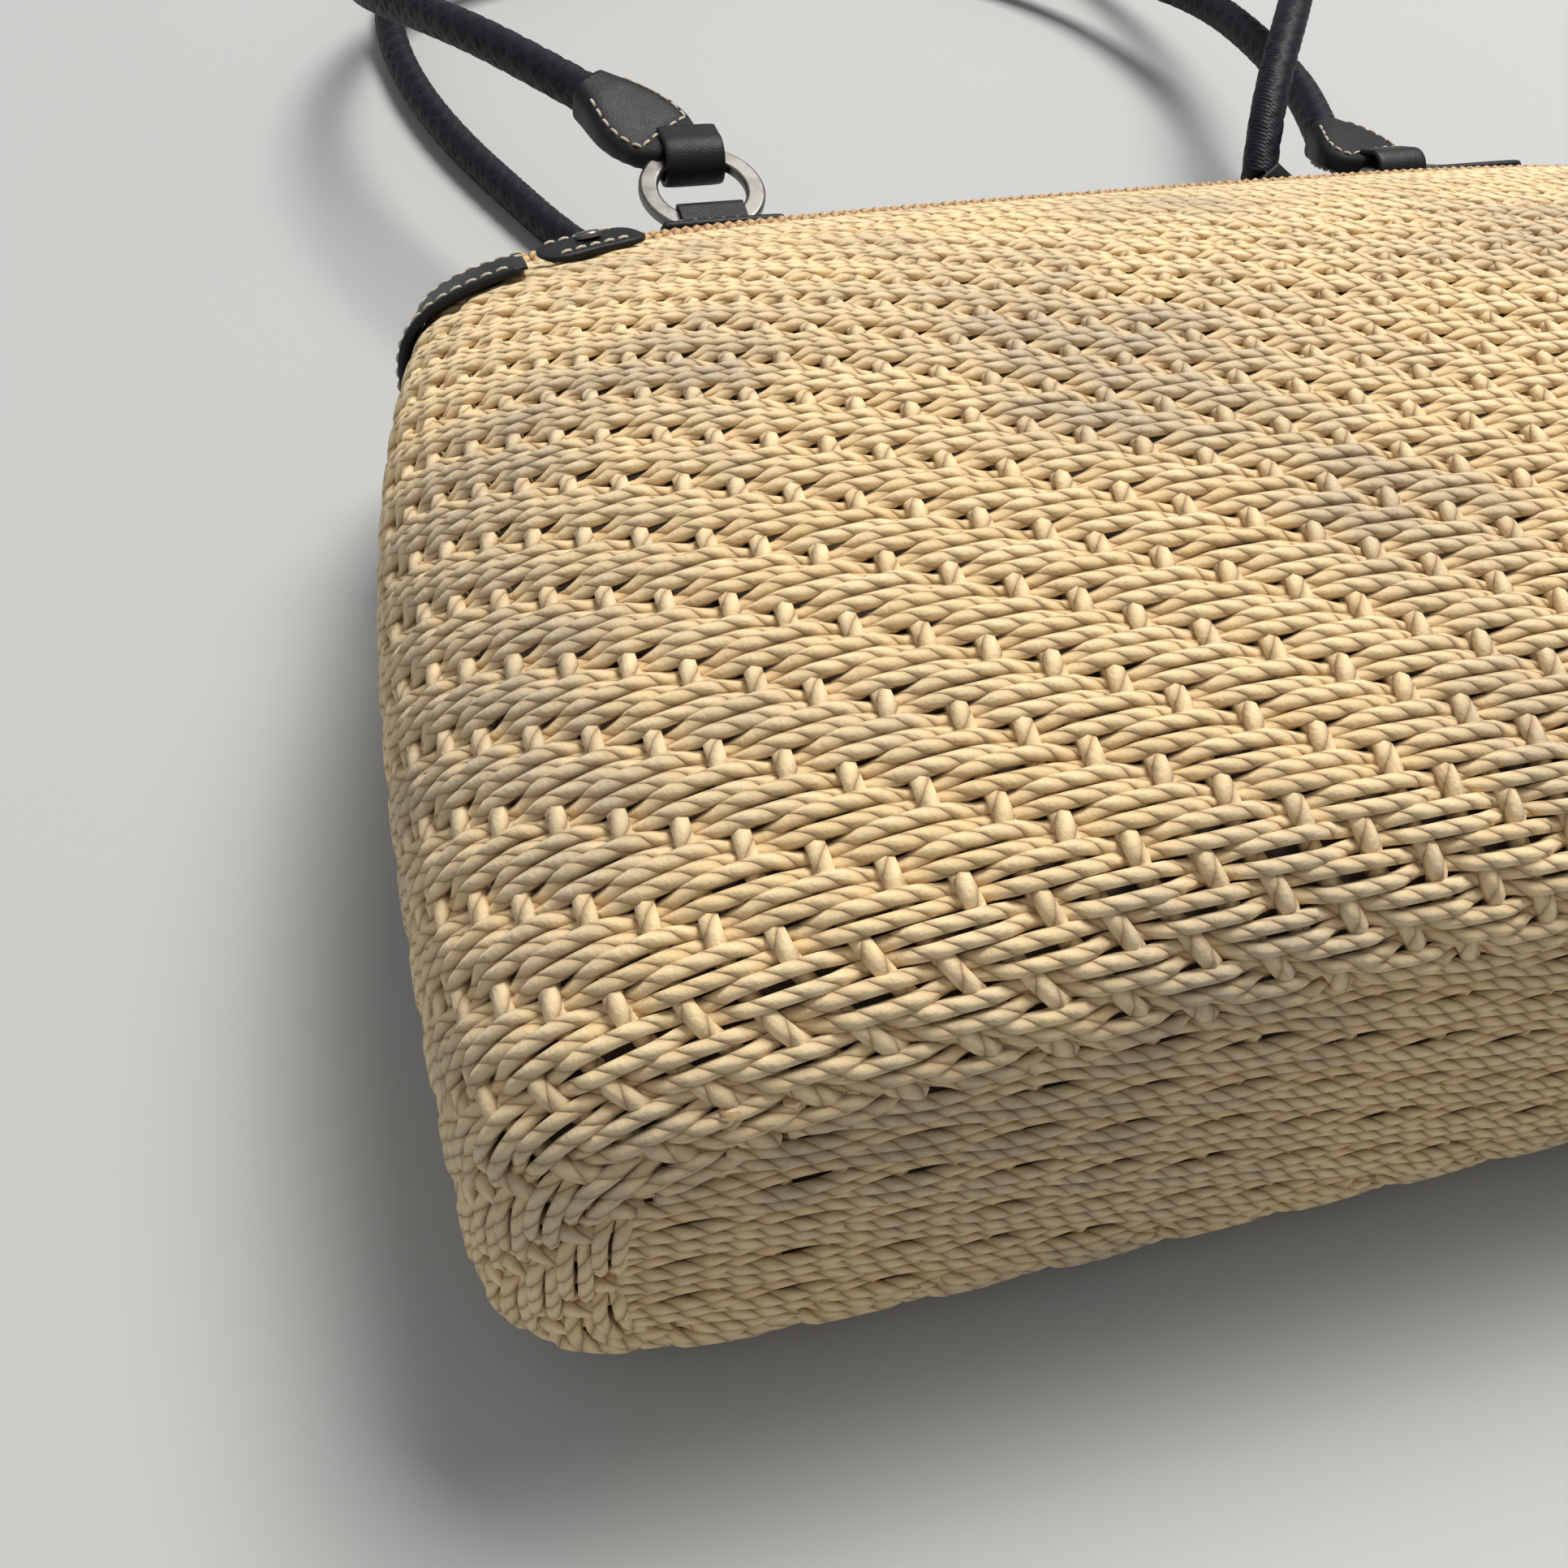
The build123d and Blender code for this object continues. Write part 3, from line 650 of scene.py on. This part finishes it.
    def bottom(self, surface, material, settings):
        """Bottom panel: cords across it in pairs that swing apart and together, so that slits open, over
        short stakes. A cord's height is its row's plus a sine of x; its depth is a sine a quarter wave on."""
        rng = np.random.default_rng(5)
        edge = surface.point[0]
        low, high = edge[:, 2].min(), edge[:, 2].max()
        centre = (low + high) / 2
        count = int((high - low) / BOTTOM_CORD_PITCH)
        z = np.linspace(low + 0.0010, high - 0.0010, count)
        right = edge[edge[:, 0] > 0]
        ends = []
        for above in (False, True):
            part = right[(right[:, 2] >= centre) == above]
            part = part[np.argsort(part[:, 2])]
            ends.append(np.interp(z, part[:, 2], part[:, 0]))
        limit = np.where(z >= centre, ends[1], ends[0])[:, None] + 0.0015
        x = np.linspace(-1, 1, 190)[None, :] * limit
        pair = (np.arange(count) // 2)[:, None]
        member = (np.arange(count) % 2)[:, None]
        wave = 2 * pi * x / BOTTOM_WAVE + pair * pi
        swing = np.sin(wave + 0.4 * np.sin(pair * 2.1))
        zz = z[:, None] + BOTTOM_SWING * swing + 0.0004 * np.sin(2 * pi * x / 0.11 + pair * 1.3)
        zz = zz + rng.normal(0, 0.00012, (count, 1))
        dip = 0.5 + 0.5 * np.sin(wave + pi / 2)
        depth = 0.0013 + 0.0012 * dip + 0.0002 * member
        path = np.stack([x, BOTTOM_Y + depth, zz], -1)
        down = np.array([0.0, -1.0, 0.0])
        tone = np.clip(0.45 + rng.normal(0, 0.15, (count, 1)) + 0.1 * np.sin(x * 40 + pair), 0, 1)
        # Where a cord dips, its lower out mark gives it painted shade.
        arrays = tube_arrays(
            path, np.broadcast_to(down, path.shape), 0.00122, 0.00118, CORD_SIDES, False, settings.twist,
            {"tone": tone, "out": 1 - 0.8 * dip},
        )
        new_object("bottom_cords", *arrays, material)
        places = np.arange(-BOTTOM_STAKE_REACH, BOTTOM_STAKE_REACH + 0.0001, BOTTOM_STAKE_PITCH)[:, None]
        zs = centre + np.linspace(-1, 1, 60)[None, :] * ((high - low) / 2 - 0.002)
        xs = places + 0.0005 * np.sin(zs * 300 + places * 50)
        path = np.stack([xs, np.full(xs.shape, BOTTOM_Y + 0.0034), np.broadcast_to(zs, xs.shape)], -1)
        # These stakes lie under the cords; an out mark of 0.3 gives them painted shade.
        arrays = tube_arrays(
            path, np.broadcast_to(down, path.shape), 0.0013, 0.0016, CORD_SIDES, False, settings.twist,
            {"tone": 0.3, "out": 0.3},
        )
        new_object("bottom_stakes", *arrays, material)

    def painted_shade_sheet(self, surface):
        """Dark sheet behind the cords, painted shade for the gaps between them: the surface moved in by a steady
        depth, two faces joined at the rim.
        """
        # Painted shade: a very dark cloth colour, so that the gaps in the weave show dark.
        material = cloth_material("painted_shade_sheet_cloth", (0.10, 0.06, 0.03), (0.05, 0.03, 0.015))
        piece = shell("weave_painted_shade_sheet", surface, 0.0042, 0.0047, surface.length - 0.0008, material)


def shell(name, surface, outer, inner, top, material, wrinkle=0.0):
    """Closed thin bag: the surface moved in by two depths, as an outer and an inner sheet joined at the rim.
    Folds are products and sums of sines of both parameters; the bottom's rows shrink towards its centre."""
    s = np.concatenate([np.linspace(0, 0.032, 12), np.linspace(0.038, top, 46)])
    around = 320
    t = np.arange(around) / around
    ss, tt = np.meshgrid(s, t, indexing="ij")
    point, normal = surface.at(ss, tt)
    sheets = []
    fold = wrinkle * (
        np.sin(2 * pi * tt * 9 + 14 * ss / BAG_HEIGHT) * np.sin(ss * 34) + 0.6 * np.sin(2 * pi * tt * 23 + ss * 60)
    )
    shrink = np.array([0.02, 0.35, 0.68])[:, None, None]
    for depth in (outer, inner):
        moved = point - normal * (depth + np.abs(fold))[..., None]
        centre = moved[0].mean(axis=0)
        sheets.append(np.concatenate([centre + (moved[0] - centre) * shrink, moved]))
    rows = len(s) + len(shrink)
    outer_points, inner_points = (sheet.reshape(-1, 3) for sheet in sheets)
    i = np.arange(rows - 1)[:, None]
    j = np.arange(around)[None, :]
    k = (j + 1) % around
    a, b, c, d = (i * around + j), (i * around + k), ((i + 1) * around + k), ((i + 1) * around + j)
    one = np.stack([a, d, c, b], -1).reshape(-1, 4)
    base = rows * around
    two = np.stack([a, b, c, d], -1).reshape(-1, 4) + base
    jj = np.arange(around)
    kk = (jj + 1) % around
    last = (rows - 1) * around
    rim = np.stack([last + jj, base + last + jj, base + last + kk, last + kk], -1)
    centre_hole = np.stack([jj, kk, base + kk, base + jj], -1)
    quads = np.concatenate([one, two, rim, centre_hole])
    points = np.concatenate([outer_points, inner_points])
    length = np.concatenate([[-0.05, -0.03, -0.01], s])
    u = np.repeat(length, around)
    v = np.tile(t * 0.96, rows)
    per_point = np.concatenate([np.stack([u, v], -1)] * 2)
    uv = per_point[quads.ravel()]
    seam = uv.reshape(-1, 4, 2)
    wrap = (seam[:, :, 1].max(axis=1) - seam[:, :, 1].min(axis=1)) > 0.5
    seam[wrap, :, 1] = np.where(seam[wrap, :, 1] < 0.5, seam[wrap, :, 1] + 0.96, seam[wrap, :, 1])
    return new_object(name, points, quads, seam.reshape(-1, 2), None, material)


class BAG_OT_rim(bpy.types.Operator):
    """Rolled edge of the mouth, wound with fine cord"""

    bl_idname = "bag.rim"
    bl_label = "Rolled rim"

    def execute(self, context):
        """A core round the mouth and a fine cord wound round it: centreline plus a circle that turns
        once for every pitch along the loop."""
        # The second colour is the painted shade on rim cord lying deep, as on the woven cord.
        material = cord_material("rim_cord", (0.66, 0.43, 0.21), (0.50, 0.28, 0.10), (0.50, 0.36, 0.22), 0.4)
        angle = np.linspace(0, 2 * pi, 4001)
        y = RIM_Y - 0.0046
        half_across, half_along = 0.0019, 0.0035
        wind_pitch, wind_samples = 0.0027, 9
        x, z = outline(y, 0.0022, angle)
        line = np.stack([x, np.full(x.shape, y), z], -1)
        run = run_along(line)
        total = run[-1]
        winds = int(total / wind_pitch)
        want = np.linspace(0, total, winds * wind_samples, endpoint=False)
        centre = places_along(line, run, want)
        tangent = unit(np.roll(centre, -1, axis=0) - np.roll(centre, 1, axis=0))
        along_y = np.array([0.0, 1.0, 0.0])
        outward = np.cross(along_y, tangent)
        turn = 2 * pi * winds * want / total
        path = centre + outward * (half_across * np.cos(turn))[:, None]
        path += along_y * (half_along * np.sin(turn))[:, None]
        radial = outward * np.cos(turn)[:, None] + along_y * np.sin(turn)[:, None]
        rng = np.random.default_rng(3)
        tone = np.clip(0.5 + ripple(rng, 1, (want / total)[None, :], (4, 9, 31), 0.3), 0, 1)
        arrays = tube_arrays(
            path[None], radial[None], 0.0010, 0.0014, CORD_SIDES, True, 0.006, {"tone": tone, "out": 0.8}
        )
        piece = new_object("rim_winding", *arrays, material)
        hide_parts("rim_roll")
        # The core's low out mark gives it mostly painted shade, as it lies under the winding.
        arrays = tube_arrays(
            centre[None, ::12], outward[None, ::12], half_across, half_along, 10, True, 0.006,
            {"tone": 0.5, "out": 0.2},
        )
        new_object("rim_core", *arrays, material)
        return {"FINISHED"}


class BAG_OT_lining(bpy.types.Operator):
    """Cotton lining inside the bag"""

    bl_idname = "bag.lining"
    bl_label = "Lining"

    def execute(self, context):
        """The bag's surface moved inward by the weave's depth, with shallow folds."""
        surface = BagSurface()
        material = cloth_material("lining_cloth", (0.50, 0.40, 0.27), (0.34, 0.26, 0.17))
        piece = shell("lining_cloth", surface, 0.0054, 0.0061, surface.length - 0.0060, material, 0.0005)
        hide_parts("lining")
        paint(material, "base_board")
        return {"FINISHED"}


def rope_line(name, route, step):
    """Points at a steady step along the NURBS line through a route."""
    data = bpy.data.curves.new(name, "CURVE")
    data.dimensions = "3D"
    spline = data.splines.new("NURBS")
    spline.points.add(len(route) - 1)
    spline.points.foreach_set("co", np.array([(x, y + BOTTOM_Y, z, 1.0) for x, y, z in route]).ravel())
    spline.order_u = 3
    spline.use_endpoint_u = True
    spline.resolution_u = 16
    holder = bpy.data.objects.new(name, data)
    bpy.context.scene.collection.objects.link(holder)
    bpy.context.view_layer.update()
    mesh = bpy.data.meshes.new_from_object(holder)
    line = np.empty(len(mesh.vertices) * 3)
    mesh.vertices.foreach_get("co", line)
    line = line.reshape(-1, 3)
    bpy.data.objects.remove(holder)
    bpy.data.curves.remove(data)
    bpy.data.meshes.remove(mesh)
    run = run_along(line)
    want = np.linspace(0, run[-1], int(run[-1] / step) + 1)
    return places_along(line, run, want), run[-1]


class BAG_OT_ropes(bpy.types.Operator):
    """Two braided handle ropes"""

    bl_idname = "bag.ropes"
    bl_label = "Handle ropes"

    def execute(self, context):
        """A tube on the rope's line; its radius swells where either of two crossing families of strands
        passes over, each a cosine of the angle plus or minus the turn along the rope."""
        settings = context.scene.bag_rope
        material = rope_material()
        sides, strands = 28, 4
        for name, route in (("front", FRONT_ROUTE), ("back", BACK_ROUTE)):
            line, length = rope_line(f"line_{name}", route, 0.0011)
            tangent = unit(np.gradient(line, axis=0))
            side = unit(np.cross(tangent, np.array([0.0, 0.0, 1.0])))
            up = np.cross(side, tangent)
            phi = (np.arange(sides) * 2 * pi / sides)[None, :]
            turn = (2 * pi * np.linspace(0, length, len(line)) / settings.braid)[:, None]
            one = np.abs(np.cos(strands * (phi - turn))) ** 0.6
            two = np.abs(np.cos(strands * (phi + turn))) ** 0.6
            relief = np.where(np.cos(strands * phi) * np.cos(strands * turn) > 0, one, two)
            radius = settings.diameter / 2 * (1 - BRAID_RELIEF + BRAID_RELIEF * relief)
            ring = (
                line[:, None, :]
                + (np.cos(phi) * radius)[..., None] * up[:, None, :]
                + (np.sin(phi) * radius)[..., None] * side[:, None, :]
            )
            _, quads, uv, _ = tube_arrays(line[None], up[None], 0.005, 0.005, sides, False, settings.braid)
            # The relief is also the out mark, which the rope material turns into painted shade in the grooves.
            piece = new_object(
                f"handle_rope_{name}", ring.reshape(-1, 3), quads, uv, {"out": relief.ravel()}, material,
                f"handle_{name}",
            )
            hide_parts(f"rope_{name}")
        return {"FINISHED"}


def resample(points, step):
    """Points at a steady step along a polyline, with its corners softened."""
    points = np.asarray(points, float)
    run = run_along(points)
    want = np.linspace(0, run[-1], max(int(run[-1] / step), 2) + 1)
    return softened(places_along(points, run, want), 3)


def stitches(name, rows, settings, body):
    """Sewn stitches: short spindles of thread, one for each pitch along each row of (points, normals).
    Each arches out of the leather, with heights and thicknesses at five shares of its length."""
    starts, ends, ups = [], [], []
    for points, normals in rows:
        run = run_along(points)
        centres = np.arange(settings.pitch * 0.6, run[-1] - settings.pitch * 0.4, settings.pitch)
        starts.append(places_along(points, run, centres - settings.length / 2))
        ends.append(places_along(points, run, centres + settings.length / 2))
        ups.append(places_along(normals, run, centres))
    start, end, up = (np.concatenate(v) for v in (starts, ends, ups))
    share = np.array([0.0, 0.12, 0.5, 0.88, 1.0])
    path = start[:, None] + (end - start)[:, None] * share[None, :, None]
    path = path + up[:, None] * (np.array([-0.5, 0.35, 0.75, 0.35, -0.5]) * settings.thread * 0.6)[None, :, None]
    thick = settings.thread / 2 * np.array([0.6, 1.0, 1.1, 1.0, 0.6])
    ups = np.broadcast_to(up[:, None], path.shape)
    points, quads, uv, _ = tube_arrays(path, ups, thick[None], thick[None] * 1.1, 6, False, 0.002)
    material = bpy.data.materials.get("pale_thread") or thread_material()
    return new_object(name, points, quads, uv, None, material, body)


def rim_face(x, up):
    """Height of the rolled edge's outer face at the rim, on the front (up 1) or the back (up -1)."""
    half_width, front, back, middle = section_measures(RIM_Y)
    fullness = FRONT_FULLNESS if up > 0 else BACK_FULLNESS
    reach = (1 - (abs(x) / (half_width + ROLL_PROUD)) ** fullness) ** (1 / fullness)
    return middle + up * ((front if up > 0 else back) + ROLL_PROUD) * reach


def bend_line(x, up):
    """Middle of the line where a tab bends and its ring assembly turns."""
    return np.array([x, RIM_Y + BEND_BEYOND_RIM, rim_face(x, up) - up * BEND_UNDER_FACE])


class BAG_OT_trims(bpy.types.Operator):
    """Side belts, their tongues, the tabs and the chapes, with their stitches"""

    bl_idname = "bag.trims"
    bl_label = "Leather trims"

    def execute(self, context):
        """Straps are squared ellipses along lines on the bag; a chape is a pad whose half width and half
        thickness vary along it, with a strap folded round the ring."""
        settings = context.scene.bag_stitch
        leather = leather_material("strap_leather")
        surface = BagSurface()
        self.belts(surface, leather, settings)
        self.tongues(leather, settings)
        for corner in CORNERS:
            self.tab(corner, leather, settings)
            self.chape(corner, leather, settings)
        return {"FINISHED"}

    def belts(self, surface, leather, settings):
        """A strap at one length up the surface, as far as its x is beyond the belt's end, thinner at both
        ends, with a row of stitches near each edge."""
        s_mid = surface.length - (BODY_END - (BELT_TOP - BELT_HALF_WIDTH))
        limit = section_measures(BELT_TOP)[0] - BELT_FRONT_REACH
        samples = 150
        rows = []
        for side, start in (("left", 0.5), ("right", 0.0)):
            t = np.linspace(-0.3, 0.3, 1601) + start
            point, _ = surface.at(np.full(t.shape, s_mid), t)
            share = t[np.abs(point[:, 0]) >= limit]
            share = np.linspace(share[0], share[-1], samples)
            point, normal = surface.at(np.full(samples, s_mid), share)
            from_end = np.minimum(np.arange(samples), np.arange(samples)[::-1])
            taper = np.clip(from_end / 3.0, 0.55, 1)
            points, quads, uv = strap_arrays(
                point + normal * 0.0014, normal, 0.0012 * taper, BELT_HALF_WIDTH * np.clip(taper, 0.86, 1), 24, 0.35
            )
            piece = new_object(f"side_belt_{side}", points, quads, uv, None, leather)
            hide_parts(f"belt_{side}")
            for shift in (-0.0106, 0.0106):
                p, n = surface.at(np.full(samples, s_mid + shift), share)
                rows.append(((p + n * 0.0026)[2:-2], n[2:-2]))
        stitches("belt_stitches", rows, settings, "bag")

    def tongues(self, leather, settings):
        """A straight slanted strap on the front face: z is the section's front curve at each x and y, and
        both ends are rounded by one less the sixth power of the share along it."""
        inner_end = section_measures(BELT_TOP)[0] - BELT_FRONT_REACH
        y_mid = BELT_TOP - BELT_HALF_WIDTH + 0.002
        slant = radians(TONGUE_SLANT)
        rows = []
        for side, sign in (("left", -1), ("right", 1)):
            x_mid = sign * (inner_end - 0.0018 - TONGUE_HALF_LENGTH)
            u = np.linspace(-TONGUE_HALF_LENGTH, TONGUE_HALF_LENGTH, 60)
            x = x_mid - sign * u * cos(slant)
            y = y_mid + u * sin(slant)
            half_width, front, back, middle = section_measures(y)
            z = middle + front * (1 - (np.abs(x) / half_width) ** FRONT_FULLNESS) ** (1 / FRONT_FULLNESS)
            path = np.stack([x, y, z + 0.0021], -1)
            up = unit(np.broadcast_to(np.array([sign * 0.16, 0.2, 1.0]), path.shape))
            round_end = np.clip(1 - (np.abs(u) / (TONGUE_HALF_LENGTH + 0.0001)) ** 6, 0.02, 1) ** 0.5
            points, quads, uv = strap_arrays(path, up, 0.0010 * round_end, 0.0059 * round_end, 20, 0.4)
            piece = new_object(f"belt_tongue_{side}", points, quads, uv, None, leather)
            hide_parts(f"tongue_{side}")
            across = unit(np.cross(np.gradient(path, axis=0), up))
            for shift in (-0.0042, 0.0042):
                rows.append(((path + across * shift + up * 0.0009)[6:-6], up[6:-6]))
        stitches("tongue_stitches", rows, settings, "bag")

    def tab(self, corner, leather, settings):
        """A strap that comes from under the rolled edge, rises over it and ends at the bend line, with two
        rows of stitches across it."""
        x, up_sign, _, _ = CORNERS[corner]
        face = rim_face(x, up_sign)
        _, flex_y, flex_z = bend_line(x, up_sign)
        outline_yz = [
            (RIM_Y - 0.0068, face - up_sign * 0.0079),
            (RIM_Y - 0.0010, face - up_sign * 0.0074),
            (RIM_Y + 0.0016, face - up_sign * 0.0040),
            (RIM_Y + 0.0022, face + up_sign * 0.0006),
            (RIM_Y + 0.0040, face - up_sign * 0.0020),
            (flex_y + 0.0012, flex_z + up_sign * 0.0030),
        ]
        path = resample([(x, y, z) for y, z in outline_yz], 0.0006)
        up = np.cross(np.array([1.0, 0.0, 0.0]), unit(np.gradient(path, axis=0)))
        share = np.linspace(0, 1, len(path))
        width = np.interp(share, [0, 0.35, 0.6, 0.75, 1.0], [0.012, 0.0155, 0.0165, 0.0150, 0.0088])
        points, quads, uv = strap_arrays(path, up, 0.0008, width, 20, 0.35)
        piece = new_object(f"tab_{corner}", points, quads, uv, None, leather)
        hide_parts(f"tab_base_{corner}")
        rows = []
        for place in (0.66, 0.80):
            k = int(place * (len(path) - 1))
            half = width[k] - 0.0018
            across = np.linspace(-half, half, 30)[:, None] * np.array([1.0, 0.0, 0.0])
            outward = up[k] * np.sign(up[k] @ np.array([0.0, 0.3, up_sign]))
            rows.append((path[k] + across + outward * 0.0009, np.broadcast_to(outward, across.shape)))
        stitches(f"tab_stitches_{corner}", rows, settings, "bag")

    def chape(self, corner, leather, settings):
        """A pad from the ring to the rope's end, its half width and half thickness softened through a few
        values, a strap round the ring and stitches along the pad's edges and across its ring end."""
        x, up_sign, elevation, rope_end = CORNERS[corner]
        body = "handle_" + corner.split("_")[0]
        lift = radians(elevation)
        pivot = bend_line(x, up_sign) + CHAPE_AXIS_FROM_BEND * np.array([0.0, cos(lift), sin(lift)])
        end = np.array([rope_end[0], rope_end[1] + BOTTOM_Y, rope_end[2]])
        reach = end - pivot
        length = np.linalg.norm(reach)
        level = unit(np.array([0.0, reach[1], reach[2]]))
        across = np.array([1.0, 0.0, 0.0])
        normal = np.cross(across, level)
        direction = reach / length
        side = np.cross(direction, normal)
        share = np.linspace(0.13, 1.02, 56)
        half_width = np.interp(
            share, [0.13, 0.2, 0.32, 0.48, 0.64, 0.8, 0.92, 1.02],
            [0.0084, 0.0098, 0.0121, 0.0128, 0.0119, 0.0096, 0.0078, 0.0066],
        )
        half_thick = np.interp(share, [0.13, 0.3, 0.55, 0.8, 1.02], [0.0046, 0.0036, 0.0046, 0.0060, 0.0061])
        for values in (half_width, half_thick):
            softened(values, 6)
        path = pivot + direction * (share * length)[:, None]
        ups = np.broadcast_to(normal, path.shape)
        points, quads, uv = strap_arrays(path, ups, half_thick, half_width, 32, 0.62)
        piece = new_object(f"chape_pad_{corner}", points, quads, uv, None, leather, body)
        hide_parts(f"chape_{corner}")
        turn = np.linspace(radians(62), radians(298), 60)
        ring = RING_LOOP_RADIUS * np.stack([np.cos(turn), np.sin(turn)], -1)
        leave, inset = 0.22 * length, 0.0040
        ring = np.concatenate([[[leave, inset]], ring, [[leave, -inset]]])
        loop = resample(pivot + ring[:, :1] * level + ring[:, 1:] * normal, 0.0007)
        outward = unit(np.cross(across, np.gradient(loop, axis=0)))
        points, quads, uv = strap_arrays(loop, outward, 0.0009, 0.0079, 20, 0.4)
        strap = new_object(f"chape_loop_{corner}", points, quads, uv, None, leather, body)
        rows = []
        keep, k = slice(8, 50), 9
        for face in (1, -1):
            lines = [(keep, (half_width - 0.0024)[keep] * edge) for edge in (1, -1)]
            lines.append((slice(k, k + 1), np.linspace(-1, 1, 20) * (half_width[k] - 0.002)))
            for part, offset in lines:
                rounding = (1 - np.abs(offset / half_width[part]) ** PAD_ROUNDNESS) ** (1 / PAD_ROUNDNESS)
                out = normal * (face * half_thick[part] * rounding)[:, None]
                sewn = path[part] + side * offset[:, None] + out
                rows.append((sewn, np.broadcast_to(normal * face, sewn.shape)))
        stitches(f"chape_stitches_{corner}", rows, settings, body)


class BAG_OT_leather(bpy.types.Operator):
    """Leather, rings and other metal pieces that show as the frame has them"""

    bl_idname = "bag.leather"
    bl_label = "Leather and metal"

    def execute(self, context):
        """Gives each of those pieces its material."""
        leather, pewter = leather_material(), pewter_material()
        paint(leather, "mouth_facing", "closure_tab", "snap_patch", *("tab_loop_" + corner for corner in CORNERS))
        paint(pewter, "tongue_rivets", "snap_stud", "snap_socket", *("ring_" + corner for corner in CORNERS))
        return {"FINISHED"}


class BAG_OT_stage(bpy.types.Operator):
    """Camera, pale floor and soft light"""

    bl_idname = "bag.stage"
    bl_label = "Stage"

    def execute(self, context):
        """The camera's axes are its forward line and the level line across it, turned by the roll."""
        scene = context.scene
        data = bpy.data.cameras.new("camera")
        data.sensor_width = 36.0
        data.lens = 38.0
        data.clip_start = 0.01
        camera = bpy.data.objects.new("camera", data)
        scene.collection.objects.link(camera)
        yaw, pitch, roll = radians(20.77), radians(46.22), radians(6.14)
        forward = Vector((sin(yaw) * cos(pitch), cos(yaw) * cos(pitch), -sin(pitch)))
        right = Vector((cos(yaw), -sin(yaw), 0))
        up = right.cross(forward)
        right_turned = right * cos(roll) + up * sin(roll)
        up_turned = -right * sin(roll) + up * cos(roll)
        turned = Matrix((right_turned, up_turned, -forward)).transposed().to_4x4()
        camera.matrix_world = Matrix.Translation((-0.2176, BOTTOM_Y - 0.1081, 0.2678)) @ turned
        scene.camera = camera

        half, under = 12.0, -0.0006
        points = np.array([(-half, -half, under), (half, -half, under), (half, half, under), (-half, half, under)])
        floor = new_object("floor", points, np.array([[0, 1, 2, 3]]), None, None, floor_material(), None)
        aim = Vector((0, 0, 0.05))
        for name, place, size, power, tint in (
            ("key", (1.0, 0.8, 3.0), 1.5, 135.0, (1.0, 0.985, 0.96)),
            ("fill", (-1.2, -0.5, 1.1), 1.4, 1.5, (0.93, 0.97, 1.0)),
        ):
            light = bpy.data.lights.new(name, "AREA")
            light.energy = power
            light.size = size
            light.color = tint
            lamp = bpy.data.objects.new(name, light)
            scene.collection.objects.link(lamp)
            lamp.location = place
            lamp.rotation_euler = (aim - Vector(place)).to_track_quat("-Z", "Y").to_euler()
        world = bpy.data.worlds.new("soft_room")
        scene.world = world
        world.use_nodes = True
        background = world.node_tree.nodes["Background"]
        background.inputs["Color"].default_value = (0.93, 0.96, 1.0, 1.0)
        background.inputs["Strength"].default_value = 0.36
        scene.view_settings.view_transform = "Standard"
        scene.view_settings.look = "None"
        return {"FINISHED"}


class BAG_PT_panel(bpy.types.Panel):
    """Lists the steps that build the bag"""

    bl_label = "Beach bag"
    bl_space_type = "VIEW_3D"
    bl_region_type = "UI"
    bl_category = "Beach bag"

    def draw(self, context):
        """The settings, and under them a button for each step."""
        for group, settings in SETTINGS.items():
            for name in settings.__annotations__:
                self.layout.prop(getattr(context.scene, group), name)
        for step in STEPS:
            self.layout.operator(step.bl_idname)


SETTINGS = {"bag_weave": WeaveSettings, "bag_rope": RopeSettings, "bag_stitch": StitchSettings}
STEPS = (
    BAG_OT_weave, BAG_OT_rim, BAG_OT_lining, BAG_OT_trims, BAG_OT_leather, BAG_OT_ropes, BAG_OT_stage,
)


def register():
    """Makes the settings, the steps and the panel known to Blender."""
    for settings in SETTINGS.values():
        bpy.utils.register_class(settings)
    for name, settings in SETTINGS.items():
        setattr(bpy.types.Scene, name, bpy.props.PointerProperty(type=settings))
    for step in STEPS:
        bpy.utils.register_class(step)
    bpy.utils.register_class(BAG_PT_panel)


def unregister():
    """Takes away what register made."""
    bpy.utils.unregister_class(BAG_PT_panel)
    for step in reversed(STEPS):
        bpy.utils.unregister_class(step)
    for name in SETTINGS:
        delattr(bpy.types.Scene, name)
    for settings in SETTINGS.values():
        bpy.utils.unregister_class(settings)


def main():
    """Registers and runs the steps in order."""
    register()
    for step in STEPS:
        group, name = step.bl_idname.split(".")
        getattr(getattr(bpy.ops, group), name)()


if __name__ == "__main__":
    main()
